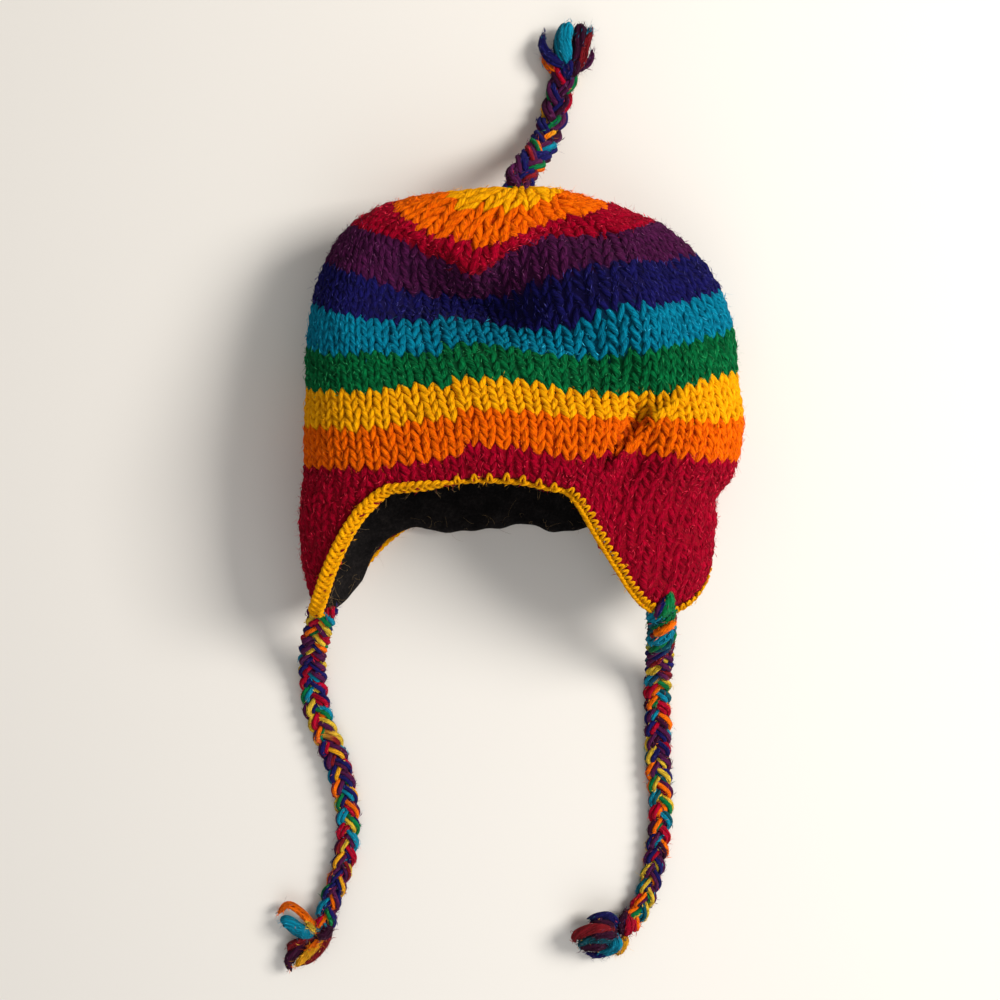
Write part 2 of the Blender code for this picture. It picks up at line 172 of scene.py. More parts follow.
# How far the left earflap's edges lie to the right of the solid's, at stations round the rim: the front
# edge is drawn to the left and the back edge to the right, so that the flap stands open
OPENING_STATIONS = np.array([-275, -215, -185, -160, -143, -137, -130, -118, -100, -78, -55, -35, 0.0])
OPENING = np.array([0, 0.5, 3.0, 2.5, -2.5, -2.0, -2.5, -4.5, -5.5, -4.5, -1.5, 0, 0])

# Where that flap's front half starts, and how the shift fades in its front and its back half: the
# height where it is nought, and the span in which it grows
FRONT_HALF = -140.0
FRONT_FADE = (0.8, 1.3)
BACK_FADE = (-0.3, 1.5)

# How much higher the rim is along the lower gap, at stations round the rim
WAVE_STATIONS = np.array([-60, -17, 6, 20, 35, 55, 75, 140.0])
WAVE = np.array([0, 0, 0.12, 0.30, 0.21, 0.02, -0.08, 0.0])

# How far the lining laps over the edge, in stripes, at stations from the middle of the lower gap
LAP_STATIONS = (-92, -60, -30, 0, 45, 70, 88, 98, 112, 122, 148, 166)
LAP = (0, 0.06, 0.27, 0.40, 0.40, 0.36, 0.24, 0, 0, 0.33, 0.33, 0)

# A notch in the right side where the earflap starts: how deep, at what height, and how far it reaches
# above and below; and the power of the sine that keeps it to that side
NOTCH = (4.2, -0.34, 0.40, 0.30)
NOTCH_NARROWNESS = 6

# Knitting: a stripe is four rows, worked in one spiral that starts at the jog and climbs leftwards.
# The crown is worked in sectors, and its stitches are larger
COLUMNS = 64
ROWS_A_STRIPE = 4
JOG = -33.0
SECTORS = 8
STITCH_WIDTH = GIRTH / COLUMNS
STITCH_POINTS = 12
YARN_RADIUS = 1.42
FELTED_SWELL = 0.32
LOOP_HALF_HEIGHT = 5.3
LOOP_SPREAD = 0.26
LOOP_DEPTH = 1.35
LEG_SWELL = 0.10
CROWN_LOOP_SWELL = 0.15
CROWN_YARN_SWELL = 0.25
DECREASES_FROM = 4
POINT_CLEARANCE = 0.05
YARN_SIDES = 6
FIRST_ROW = -14
LAST_ROW = 41
EDGE_CLEAR = 0.10
FLOOR_CLEARANCE = 0.1

# How unevenly the loops are worked: random drift along the row and rise, swell of the yarn as a share
# of it, and push out of the fabric; and how much more a felted yarn strays
LOOP_DRIFT = 0.5
LOOP_RISE = 0.35
LOOP_UNEVENNESS = 0.09
LOOP_PUSH = 0.2
FELTED_STRAY = 0.8

# The ground between the stitches: its depth under smooth yarn, how much less that is where the yarn
# is felted, and its own wall; its tone under smooth yarn, a share of the yarn's shaded colour that
# paints shade into the gaps, and what felting adds; how far its stripes lie above the stitches', how
# far it stops from the rim and the point, and its columns and rows
GROUND_DEPTH = 3.0
GROUND_FELTING = 1.9
GROUND_WALL = 1.3
GROUND_SHADE_TONE = (0.35, 1.65)
GROUND_SHIFT = 0.02
GROUND_STOPS = (0.04, 0.25)
GROUND_GRID = (160, 56)

# Fuzz: fibres a millimetre of matted yarn, the share of them that smooth yarn has, how far round the
# yarn from its outer side they grow, the share of them that stands off, the share that strayed from
# another yarn, how much paler the bright ones are, and from what brightness they are
FUZZ_RATE = 1.02
SMOOTH_FUZZ = 0.15
FUZZ_SIDE = -0.1
FREE_SHARE = 0.30
FUZZ_STRAYED = 0.16
FUZZ_PALE = 0.035
FUZZ_PALE_FROM = 0.9

# A fibre that stands off its yarn, and one that lies on it: how far it sways to the side and lifts,
# its length, its curl outwards and its thickness
FREE_FIBRE = (1.2, 0.6, 4.0, 0.3, 0.07)
LYING_FIBRE = (0.50, 0.12, 3.3, -0.05, 0.25)

# How far a fibre's root stands off the yarn, and the least and the random part of its length, of its
# thickness and of its brightness, which rises with a power of the random number
ROOT_LIFT = 0.14
LENGTH_SPREAD = (0.6, 0.8)
THICKNESS_SPREAD = (0.6, 0.6)
BRIGHTNESS_SPREAD = (0.7, 1.6)
BRIGHTNESS_POWER = 1.2
FIBRE_SIDES = 3
LEAST_CURL = 0.01

# The crown: where its larger stitches start and in what span they reach their size, how much narrower
# they get, and how far the columns spread
CROWN_START = 6.0
CROWN_SPAN = 2.5
CROWN_STRETCH = -0.22
CROWN_SPREAD = 1.2

# How far the columns lean at stations round the rim, as a share of their height: a positive lean
# drifts to the right on the way down. Below the first and above the last level they don't lean
LEAN_STATIONS = np.array([-137, -100, -75, -50, -25, 0, 25, 48, 62, 76, 95, 137.0])
LEAN = np.array([0.05, 0.10, 0.20, 0.22, 0.16, 0.12, 0.06, -0.06, -0.17, -0.10, 0.02, 0.05])
LEAN_LEVELS = (-0.5, 2.0, 5.0)

# Colours of the yarns, linear RGB: the shaded side and the lit side
YARNS = {
    "red": ((0.125, 0.0, 0.005), (0.40, 0.0, 0.020)),
    "orange": ((0.54, 0.058, 0.0), (0.90, 0.152, 0.0)),
    "yellow": ((0.64, 0.235, 0.0), (0.96, 0.43, 0.002)),
    "green": ((0.0, 0.034, 0.010), (0.001, 0.16, 0.045)),
    "cyan": ((0.0, 0.080, 0.145), (0.001, 0.220, 0.352)),
    "navy": ((0.003, 0.002, 0.022), (0.009, 0.008, 0.105)),
    "purple": ((0.019, 0.002, 0.016), (0.078, 0.008, 0.058)),
    "lemon": ((0.30, 0.20, 0.01), (0.66, 0.43, 0.03)),
    "teal": ((0.001, 0.025, 0.04), (0.003, 0.085, 0.12)),
    "wine": ((0.06, 0.002, 0.004), (0.22, 0.008, 0.014)),
    "plum": ((0.012, 0.002, 0.009), (0.040, 0.004, 0.024)),
    "amber": ((0.50, 0.18, 0.0), (0.80, 0.36, 0.01)),
}
STRIPE_YARNS = ("red", "orange", "yellow", "green", "cyan", "navy", "purple", "red", "orange",
                "yellow", "green")

# How felted each yarn is: 0 is smooth, 1 is matted all over
FELTED = {"red": 1.0, "orange": 0.35, "yellow": 0.25, "green": 0.85, "cyan": 0.35, "navy": 1.0,
          "purple": 1.0}


def weights(stations, place):
    """Share of each station in a smooth curve through all of them, at every place."""
    table = np.eye(len(stations))
    slope = np.gradient(table, stations, axis=0)
    place = np.clip(place, stations[0], stations[-1])
    row = np.clip(np.searchsorted(stations, place) - 1, 0, len(stations) - 2)
    span = (stations[row + 1] - stations[row])[..., None]
    f = (place - stations[row])[..., None] / span
    start = table[row] * (1 + 2 * f) * (1 - f) ** 2 + slope[row] * span * f * (1 - f) ** 2
    end = table[row + 1] * f * f * (3 - 2 * f) + slope[row + 1] * span * f * f * (f - 1)
    return start + end


def blunt(value):
    """Squares a sine or cosine off, so that a circle becomes the section of a flattened bag."""
    return np.sign(value) * np.abs(value) ** (2 / SQUARENESS)


def angle_round_rim(around):
    """Angle round the flattened section at a given length round the rim."""
    angle = np.linspace(-np.pi, np.pi, SECTION_STEPS + 1)
    step = np.hypot(np.diff(SECTION_HALF[0] * blunt(np.sin(angle))),
                    np.diff(SECTION_HALF[1] * blunt(np.cos(angle))))
    length = np.concatenate([[0], np.cumsum(step)])
    return np.interp(around, (length / length[-1] - 0.5) * GIRTH, angle)


def wrapped(around):
    """Length round the rim, brought between minus and plus half the girth."""
    return (around + GIRTH / 2) % GIRTH - GIRTH / 2


def rim_height(around):
    """Height of the knitted edge in stripes: level over the gaps, a rounded tongue at each flap."""
    height = np.full(np.shape(around), RIM_RISE)
    for place, length, upper, lower in FLAPS.values():
        off = wrapped(around - place)
        share = np.clip(np.where(off * upper > 0, off / upper, off / lower), 0, 1)
        height = height - length / STRIPE * (0.5 + 0.5 * np.cos(np.pi * share)) ** FLAP_POWER
    return height + weights(WAVE_STATIONS, wrapped(around - LAP_PLACE)) @ WAVE


def crease(around, up):
    """Rise of the crease: across its curved line, a bell-shaped groove and a wider bell-shaped lip on
    the right, as deep, wide and high as the table says at each height."""
    place, depth, width, rise = np.moveaxis(weights(CREASE[:, 0], up) @ CREASE[:, 1:], -1, 0)
    further = weights(CREASE[:, 0], up + SLOPE_UP) @ CREASE[:, 1]
    slant = (further - place) / (SLOPE_UP * STRIPE)
    across = (around - place) / np.hypot(1, slant)
    lip_place, lip_width = CREASE_LIP
    lip = rise * np.exp(-(((across - lip_place) / lip_width) ** 2))
    return lip - depth * np.exp(-((across / width) ** 2))


def opening(around, up):
    """Shift of the left earflap's edges: the table's, in full below the rim and less above it."""
    front, back = (np.clip((top - up) / span, 0, 1) for top, span in (FRONT_FADE, BACK_FADE))
    return np.where(around > FRONT_HALF, front, back) * (weights(OPENING_STATIONS, around) @ OPENING)


def fabric(around, up):
    """Outer face of the knit: at each height a flattened round section, wider or narrower as the
    table of sections says, shifted along by the table of lines and sunk or raised by each fold."""
    around, up = np.broadcast_arrays(wrapped(np.asarray(around, float)), np.asarray(up, float))
    section = weights(SECTIONS[:, 0], up) @ SECTIONS[:, 1:]
    left_x, left_y, right_x, right_y, top_y, top_z, under_y, under_z = np.moveaxis(section, -1, 0)
    angle = angle_round_rim(around)
    sine, cosine = np.sin(angle), np.cos(angle)
    x = (left_x + right_x) / 2 + (right_x - left_x) / 2 * blunt(sine)
    y = np.where(cosine > 0, top_y, under_y) * cosine**2 + np.where(sine > 0, right_y, left_y) * sine**2
    fade = np.clip((APEX - up) / CROWN_FADE, 0, 1)
    fade = fade * fade * (3 - 2 * fade)
    y += fade * np.sum((weights(LINES[:, 0], up) @ LINES[:, 1:]) * weights(STATIONS, around), axis=-1)
    z = under_z + (top_z - under_z) * (1 + blunt(cosine)) / 2
    for place, height, half_width, half_height, sink in FOLDS.values():
        hump = np.exp(-(((around - place) / half_width) ** 2) - ((up - height) / half_height) ** 2)
        z += fade * sink * hump
    z += crease(around, up)
    sink, height, above, below = NOTCH
    off = (up - height) / np.where(up > height, above, below)
    x += opening(around, up) - sink * np.exp(-(off**2)) * np.clip(sine, 0, 1) ** NOTCH_NARROWNESS
    return np.stack([x, y - RIM_TO_REST, np.maximum(z - PRESSED, 0)], -1)


def unit(vectors):
    """Vectors brought to length 1."""
    return vectors / np.maximum(np.linalg.norm(vectors, axis=-1, keepdims=True), 1e-9)


def inward(around, up):
    """Unit vectors into the hat, square to the fabric: the cross product of its two slopes."""
    across = fabric(around + SLOPE_AROUND, up) - fabric(around - SLOPE_AROUND, up)
    along = fabric(around, up + SLOPE_UP) - fabric(around, up - SLOPE_UP)
    return unit(np.cross(along, across))


def under_face(around, up, depth):
    """Points at a depth under the knit's outer face, and the inward direction there."""
    normal = inward(around, up)
    return fabric(around, up) + normal * np.asarray(depth)[..., None], normal


def lower_gap(around):
    """1 in the middle of the lower side's gap between the flaps, falling smoothly to 0 at the flaps."""
    off = wrapped(around - LAP_PLACE)
    share = np.abs(off) / np.where(off > 0, LAP_REACH_LEFT, LAP_REACH)
    fall = 0.5 + 0.5 * np.cos(np.pi * np.clip(share, 0, 1))
    return np.where(off > 0, np.clip(LAP_FULLNESS_LEFT * fall, 0, 1), fall)


def lower_edge(around):
    """1 along most of the lower gap, where the lining laps over the edging, and 0 at the flaps."""
    return np.clip(LAP_SHARPNESS * lower_gap(around), 0, 1)


# Meshes


def lift_off_floor(points, radius):
    """Raises the middle line of a yarn of the given radius wherever it would sink into the table."""
    points[:, 2] = np.maximum(points[:, 2], radius + FLOOR_CLEARANCE)


def put_mesh(name, points, face_sets, material, uv_sets=None, colours=None):
    """Makes a smooth-shaded piece from points in millimetres and arrays of faces of equal size."""
    mesh = bpy.data.meshes.new(name)
    mesh.vertices.add(len(points))
    mesh.vertices.foreach_set("co", np.asarray(points * MM, np.float32).ravel())
    corners = np.concatenate([faces.ravel() for faces in face_sets])
    sizes = np.concatenate([np.full(len(faces), faces.shape[1]) for faces in face_sets])
    mesh.loops.add(len(corners))
    mesh.loops.foreach_set("vertex_index", corners.astype(np.int32))
    mesh.polygons.add(len(sizes))
    starts = np.concatenate([[0], np.cumsum(sizes)[:-1]])
    mesh.polygons.foreach_set("loop_start", starts.astype(np.int32))
    mesh.polygons.foreach_set("loop_total", sizes.astype(np.int32))
    mesh.update(calc_edges=True)
    if uv_sets is not None:
        layer = mesh.uv_layers.new(name="yarn")
        places = np.concatenate([uv.reshape(-1, 2) for uv in uv_sets])
        layer.data.foreach_set("uv", places.astype(np.float32).ravel())
    if colours is not None:
        layer = mesh.color_attributes.new("yarn_colour", "FLOAT_COLOR", "POINT")
        rgba = np.column_stack([colours, np.ones(len(colours))])
        layer.data.foreach_set("color", rgba.astype(np.float32).ravel())
    mesh.shade_smooth()
    mesh.materials.append(material)
    piece = bpy.data.objects.new(name, mesh)
    bpy.context.scene.collection.objects.link(piece)
    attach(piece, "root")
    return piece


def tube(points, reference, radius, sides):
    """A yarn's surface: a circle of points square to the path at each of its points, turned from the
    direction that is square to both the path and the reference. Returns the points, the faces and
    their places on the yarn: length along it in millimetres, and share of the turn round it."""
    ahead = unit(np.gradient(points, axis=0))
    side = unit(np.cross(ahead, np.broadcast_to(reference, points.shape)))
    over = np.cross(ahead, side)
    turn = np.linspace(0, 2 * np.pi, sides, endpoint=False)
    radius = np.broadcast_to(radius, len(points))[:, None, None]
    rings = points[:, None] + radius * (np.cos(turn)[:, None] * side[:, None]
                                        + np.sin(turn)[:, None] * over[:, None])
    index = np.arange(len(points) * sides).reshape(-1, sides)
    beside = np.roll(index, -1, axis=1)
    quads = np.stack([index[:-1], beside[:-1], beside[1:], index[1:]], -1).reshape(-1, 4)
    step = np.arange(sides // 2 - 1)
    cap = np.stack([step, step + 1, sides - 2 - step, sides - 1 - step], -1)
    start_cap, end_cap = cap[:, ::-1], cap + index[-1, 0]
    length = np.concatenate([[0], np.cumsum(np.linalg.norm(np.diff(points, axis=0), axis=1))])
    share = np.arange(sides + 1) / sides
    along = np.stack([length[:-1], length[:-1], length[1:], length[1:]], -1)[:, None]
    round_it = np.stack([share[:-1], share[1:], share[1:], share[:-1]], -1)[None]
    uv = np.stack(np.broadcast_arrays(along, round_it), -1).reshape(-1, 4, 2)
    cap_uv = np.stack(np.broadcast_arrays(0.0, cap / sides), -1)
    end_uv = np.stack(np.broadcast_arrays(length[-1], cap / sides), -1)
    faces = np.concatenate([quads, start_cap, end_cap])
    return rings.reshape(-1, 3), faces, np.concatenate([uv, cap_uv, end_uv])


def join_tubes(name, tubes, material, colours=None):
    """Makes one piece from several yarns, each with a colour of its own, or a row of colours along it,
    if any are given."""
    points, faces, uvs, paint, count = [], [], [], [], 0
    for number, (places, quads, uv) in enumerate(tubes):
        points.append(places)
        faces.append(quads + count)
        uvs.append(uv)
        count += len(places)
        if colours is not None:
            along_it = np.broadcast_to(colours[number], (len(places) // YARN_SIDES, 3))
            paint.append(np.repeat(along_it, YARN_SIDES, axis=0))
    return put_mesh(name, np.concatenate(points), [np.concatenate(faces)], material,
                    [np.concatenate(uvs)], np.concatenate(paint) if paint else None)


# Loose fibres


def spread(pair, share):
    """The pair's first number, plus a share of its second."""
    base, more = pair
    return base + more * share


def fibres(name, roots, along, out, length, bend, thickness, colours, material, rings=1):
    """Loose fibres, each a closed spindle: it starts in a point, has a few rings of three points, and
    ends in a point. Its middle line is an arc that turns to the side by the bend's first number in
    radians, and lifts outwards with the square of the way along it times the second."""
    along = unit(along)
    aside = unit(np.cross(along, out))
    over = np.cross(along, aside)
    way = np.linspace(0, 1, rings + 2)[:, None]
    reach = length[:, None, None]
    curl = np.where(np.abs(bend[:, :1]) < LEAST_CURL, LEAST_CURL, bend[:, :1])[:, None]
    spine = roots[:, None] + reach * (np.sin(curl * way) / curl * along[:, None]
                                      + (1 - np.cos(curl * way)) / curl * aside[:, None]
                                      + way**2 * (bend[:, 1:] * out)[:, None])
    turn = 2 * np.pi * np.arange(FIBRE_SIDES) / FIBRE_SIDES
    ring = np.cos(turn)[:, None] * aside[:, None] + np.sin(turn)[:, None] * over[:, None]
    ring = (thickness[:, None, None] * ring)[:, None]
    body = (spine[:, 1:-1, None] + ring).reshape(len(roots), FIBRE_SIDES * rings, 3)
    points = np.concatenate([spine[:, :1], body, spine[:, -1:]], 1)
    points[..., 2] = np.maximum(points[..., 2], FLOOR_CLEARANCE)
    size = FIBRE_SIDES * rings + 2
    first = size * np.arange(len(roots))[:, None, None]
    step = np.arange(FIBRE_SIDES)
    after = (step + 1) % FIBRE_SIDES
    last_ring = 1 + FIBRE_SIDES * (rings - 1)
    ends = np.concatenate([np.stack([0 * step, 1 + after, 1 + step], -1),
                           np.stack([last_ring + step, last_ring + after, size - 1 + 0 * step], -1)])
    ring_start = 1 + FIBRE_SIDES * np.arange(rings - 1)[:, None, None]
    corners = np.stack([step, after, FIBRE_SIDES + after, FIBRE_SIDES + step], -1)
    sides = (ring_start + corners).reshape(1, -1, 4)
    faces = [(first + ends).reshape(-1, 3)]
    if rings > 1:
        faces.append((first + sides).reshape(-1, 4))
    return put_mesh(name, points.reshape(-1, 3), faces, material,
                    colours=np.repeat(colours, size, axis=0))


def fuzz(name, tubes, tints, facing, rate, material, dice):
    """The fuzz of a group of yarns: fibres that leave the yarns' surface at random places, mostly
    along the yarn. Most lie close, and some stand off and curl. The rate is fibres a millimetre."""
    rings = [places.reshape(-1, YARN_SIDES, 3) for places, _, _ in tubes]
    middles = [ring.mean(axis=1) for ring in rings]
    ahead = np.concatenate([unit(np.gradient(middle, axis=0)) for middle in middles])
    tint = np.concatenate([np.broadcast_to(own, middle.shape) for own, middle in zip(tints, middles)])
    yarn_length = sum(np.linalg.norm(np.diff(middle, axis=0), axis=1).sum() for middle in middles)
    middles, rings, facing = np.concatenate(middles), np.concatenate(rings), np.concatenate(facing)
    spot = dice.integers(len(rings), size=int(rate * yarn_length))
    root = rings[spot, dice.integers(YARN_SIDES, size=len(spot))]
    out = unit(root - middles[spot])
    seen = np.sum(out * facing[spot], axis=-1) > FUZZ_SIDE
    spot, root, out = spot[seen], root[seen], out[seen]
    count = len(spot)
    free = dice.random(count) < FREE_SHARE
    aside = np.cross(ahead[spot], out)
    sway, lift, length, curl, thickness = (
        np.where(free, standing, lying) for standing, lying in zip(FREE_FIBRE, LYING_FIBRE))
    sway = sway * dice.normal(size=count)
    lift = lift * np.abs(dice.normal(size=count))
    sign = np.where(dice.random(count) < 0.5, 1, -1)
    along = unit(sign[:, None] * ahead[spot] + sway[:, None] * aside + lift[:, None] * out)
    root = root + ROOT_LIFT * out
    length = length * spread(LENGTH_SPREAD, dice.random(count))
    bend = np.stack([dice.normal(size=count), curl * dice.random(count)], -1)
    thickness = thickness * spread(THICKNESS_SPREAD, dice.random(count))
    strayed = np.where(dice.random(count) < FUZZ_STRAYED, dice.permutation(spot), spot)
    own = tint[strayed]
    bright = spread(BRIGHTNESS_SPREAD, dice.random(count) ** BRIGHTNESS_POWER)
    bright = np.minimum(bright, 1 / own.max(axis=1))
    pale = FUZZ_PALE * np.clip(bright - FUZZ_PALE_FROM, 0, 1)
    paint = np.clip(own * bright[:, None] + pale[:, None], 0, 1)
    fibres(name, root, along, out, length, bend, thickness, paint, material)


# Materials

# Each noise: scale, detail and roughness. The fibres' is in millimetres of yarn, the others in metres
FIBRE_NOISE = (1.3, 3.0, 0.6)
BLOTCH_NOISE = (240.0, 4.0, 0.6)
GRAIN_NOISE = (1700.0, 3.0, 0.7)
LOOSE_FIBRE_NOISE = (900.0, 2.0, 0.6)
GROUND_NOISE = (900.0, 5.0, 0.7)
NAP_NOISE = (650.0, 6.0, 0.75)
CLUMP_NOISE = (120.0, 3.0, 0.6)

# Wool: how far its fibres are drawn out along the yarn, how blunt its plies are and their mean; the
# shares of plies, blotches and grain in its tone, where the plies' share is painted shade in the
# grooves between them, and of plies, fibres and grain in its relief. A pair is the share in smooth
# yarn, and what felting adds
FIBRE_STRETCH = 0.16
PLY_BLUNTNESS = 0.6
PLY_MEAN = 0.6
PLY_GROOVE_SHADE = (0.17, -0.12)
BLOTCH_TONE = (0.45, 0.15)
GRAIN_TONE = 0.2
PLY_RELIEF = 2.0
FIBRE_RELIEF = 2.2
GRAIN_RELIEF = (0.5, 0.4)
FELT_SHEEN = 0.06
SHEEN_WHITE = 0.15
GREY_SHEEN = (0.05, (0.6, 0.6, 0.6))
FLEECE_SHEEN = (0.05, (0.7, 0.65, 0.6))

# Where the tone is darkest, middling and lightest, and the greys of the wool that is dyed by its
# own colours: place and grey
TONE_STOPS = (0.40, 0.50, 0.58)
MIXED_GREYS = ((0.38, 0.40), (0.58, 1.2))
LOOSE_FIBRE_GREYS = ((0.3, 0.7), (0.7, 1.1))
GROUND_GREYS = ((0.35, 0.6), (0.65, 1.2))
FLEECE_STOPS = ((0.36, (0.0028, 0.0025, 0.0027)), (0.5, (0.0077, 0.0067, 0.007)),
                (0.68, (0.022, 0.0185, 0.018)))

# Depth of the relief in metres
WOOL_BUMP = 0.0008
GROUND_BUMP = 0.001
FLEECE_BUMP = 0.0018


def nodes_of(material):
    """A material's nodes and links, with its Principled shader."""
    material.use_nodes = True
    tree = material.node_tree
    return tree.nodes, tree.links, tree.nodes["Principled BSDF"]


def math_node(nodes, links, operation, first, second=None):
    """A Math node fed by sockets or numbers; returns its result."""
    node = nodes.new("ShaderNodeMath")
    node.operation = operation
    for socket, value in zip(node.inputs, (first, second)):
        if value is None:
            continue
        if isinstance(value, (int, float)):
            socket.default_value = value
        else:
            links.new(value, socket)
    return node.outputs[0]


def weighted(nodes, links, *terms):
    """Sum of sockets, each times its own number."""
    total = None
    for socket, weight in terms:
        part = math_node(nodes, links, "MULTIPLY", socket, weight)
        total = part if total is None else math_node(nodes, links, "ADD", total, part)
    return total


def noise_node(nodes, links, coordinates, settings):
    """A noise on given coordinates; returns its value, about 0.5 in the middle."""
    node = nodes.new("ShaderNodeTexNoise")
    for name, value in zip(("Scale", "Detail", "Roughness"), settings):
        node.inputs[name].default_value = value
    links.new(coordinates, node.inputs["Vector"])
    return node.outputs["Fac"]


def ramp_node(nodes, links, value, stops):
    """A colour ramp through stops of (place, colour); returns its colour."""
    node = nodes.new("ShaderNodeValToRGB")
    ramp = node.color_ramp
    while len(ramp.elements) < len(stops):
        ramp.elements.new(0.5)
    for element, (place, colour) in zip(ramp.elements, stops):
        element.position = place
        element.color = (*colour, 1)
    links.new(value, node.inputs["Fac"])
    return node.outputs["Color"]


def tinted(nodes, links, colour, shade):
    """One colour times another."""
    mix = nodes.new("ShaderNodeMix")
    mix.data_type = "RGBA"
    mix.blend_type = "MULTIPLY"
    mix.inputs["Factor"].default_value = 1.0
    links.new(colour, mix.inputs["A"])
    links.new(shade, mix.inputs["B"])
    return mix.outputs["Result"]


def dyed(nodes, links, shader, value, greys):
    """Colours a shader by its piece's own colours, times a grey that rises with a value."""
    colour = nodes.new("ShaderNodeAttribute")
    colour.attribute_name = "yarn_colour"
    shade = ramp_node(nodes, links, value, [(place, (grey,) * 3) for place, grey in greys])
    links.new(tinted(nodes, links, colour.outputs["Color"], shade), shader.inputs["Base Color"])


def bumped(nodes, links, shader, height, distance):
    """Roughens a shader's surface by a height."""
    bump = nodes.new("ShaderNodeBump")
    bump.inputs["Strength"].default_value = 1.0
    bump.inputs["Distance"].default_value = distance
    links.new(height, bump.inputs["Height"])
    links.new(bump.outputs["Normal"], shader.inputs["Normal"])


def dry(shader, sheen, tint):
    """Sets a dry, slightly hairy surface."""
    shader.inputs["Roughness"].default_value = 0.95
    shader.inputs["Specular IOR Level"].default_value = 0.04
    shader.inputs["Sheen Weight"].default_value = sheen
    shader.inputs["Sheen Roughness"].default_value = 0.5
    shader.inputs["Sheen Tint"].default_value = (*tint, 1)


def wool(name, shaded=None, lit=None, plies=3, twist=16.0, felted=0.5, thickness=YARN_RADIUS):
    """Wool yarn. A noise that is stretched along the yarn, and turns round it with the twist, makes its
    fibres; a softened sine of the same turn makes its plies, and paints shade in the grooves between
    them; two more noises make blotches of dye and grain. Takes its two colours as given, or one from
    the yarns' own colour attribute."""
    material = bpy.data.materials.new(name)
    nodes, links, shader = nodes_of(material)
    place = nodes.new("ShaderNodeTexCoord").outputs["Object"]
    uv = nodes.new("ShaderNodeUVMap")
    uv.uv_map = "yarn"
    split = nodes.new("ShaderNodeSeparateXYZ")
    links.new(uv.outputs["UV"], split.inputs["Vector"])
    along, around = split.outputs["X"], split.outputs["Y"]
    turns = weighted(nodes, links, (along, 1 / twist), (around, 1.0))
    angle = math_node(nodes, links, "MULTIPLY", turns, 2 * np.pi)
    twisted = nodes.new("ShaderNodeCombineXYZ")
    links.new(math_node(nodes, links, "MULTIPLY", along, FIBRE_STRETCH), twisted.inputs["X"])
    for axis, wave in (("Y", "COSINE"), ("Z", "SINE")):
        links.new(math_node(nodes, links, "MULTIPLY", math_node(nodes, links, wave, angle), thickness),
                  twisted.inputs[axis])
    fibre = noise_node(nodes, links, twisted.outputs["Vector"], FIBRE_NOISE)
    blotch = noise_node(nodes, links, place, BLOTCH_NOISE)
    grain = noise_node(nodes, links, place, GRAIN_NOISE)
    ply = math_node(nodes, links, "ABSOLUTE", math_node(
        nodes, links, "SINE", math_node(nodes, links, "MULTIPLY", turns, np.pi * plies)))
    ply = math_node(nodes, links, "POWER", ply, PLY_BLUNTNESS)
    ply_share, blotch_share = spread(PLY_GROOVE_SHADE, felted), spread(BLOTCH_TONE, felted)
    # Painted shade: the plies' share in the tone darkens the colour in the grooves between the plies
    tone = weighted(nodes, links, (ply, ply_share), (fibre, 1.0), (blotch, blotch_share), (grain, GRAIN_TONE))
    mean = 0.5 * (1.0 + blotch_share + GRAIN_TONE) + PLY_MEAN * ply_share
    tone = weighted(nodes, links, (tone, 1 / (2 * mean)))
    if shaded is None:
        dyed(nodes, links, shader, tone, MIXED_GREYS)
        dry(shader, *GREY_SHEEN)
    else:
        middle = tuple(0.5 * (a + b) for a, b in zip(shaded, lit))
        colour = ramp_node(nodes, links, tone, list(zip(TONE_STOPS, (shaded, middle, lit))))
        links.new(colour, shader.inputs["Base Color"])
        dry(shader, FELT_SHEEN * felted, tuple(SHEEN_WHITE + (1 - SHEEN_WHITE) * c for c in lit))
    height = weighted(nodes, links, (ply, PLY_RELIEF * ply_share), (fibre, FIBRE_RELIEF),
                      (grain, spread(GRAIN_RELIEF, felted)))
    bumped(nodes, links, shader, height, WOOL_BUMP)
    return material


def fibre_wool(name):
    """Loose fibres: the colour of each from its attribute, uneven along it."""
    material = bpy.data.materials.new(name)
    nodes, links, shader = nodes_of(material)
    place = nodes.new("ShaderNodeTexCoord").outputs["Object"]
    dyed(nodes, links, shader, noise_node(nodes, links, place, LOOSE_FIBRE_NOISE), LOOSE_FIBRE_GREYS)
    dry(shader, 0.0, (1, 1, 1))
    return material


def ground_wool(name):
    """Matted wool between the stitches: its colour attribute, which carries painted shade, mottled and rough.
    """
    material = bpy.data.materials.new(name)
    nodes, links, shader = nodes_of(material)
    place = nodes.new("ShaderNodeTexCoord").outputs["Object"]
    mat = noise_node(nodes, links, place, GROUND_NOISE)
    dyed(nodes, links, shader, mat, GROUND_GREYS)
    bumped(nodes, links, shader, mat, GROUND_BUMP)
    dry(shader, *GREY_SHEEN)
    return material


def fleece(name):
    """Black brushed fleece: a felted nap of tangled fibres with a few light ones."""
    material = bpy.data.materials.new(name)
    nodes, links, shader = nodes_of(material)
    place = nodes.new("ShaderNodeTexCoord").outputs["Object"]
    nap = noise_node(nodes, links, place, NAP_NOISE)
    clump = noise_node(nodes, links, place, CLUMP_NOISE)
    tone = weighted(nodes, links, (nap, 0.6), (clump, 0.4))
    links.new(ramp_node(nodes, links, tone, FLEECE_STOPS), shader.inputs["Base Color"])
    bumped(nodes, links, shader, tone, FLEECE_BUMP)
    dry(shader, *FLEECE_SHEEN)
    return material


# The knitted fabric


def girth_at(up):
    """Length round the fabric at a height: the sum of the steps between points all round."""
    around = np.linspace(-GIRTH / 2, GIRTH / 2, GIRTH_POINTS)
    return np.linalg.norm(np.diff(fabric(around, up), axis=0), axis=1).sum()


def crown_share(up):
    """0 up to the start of the crown, 1 near its point, where the stitches are larger."""
    return np.clip((up - CROWN_START) / CROWN_SPAN, 0, 1)


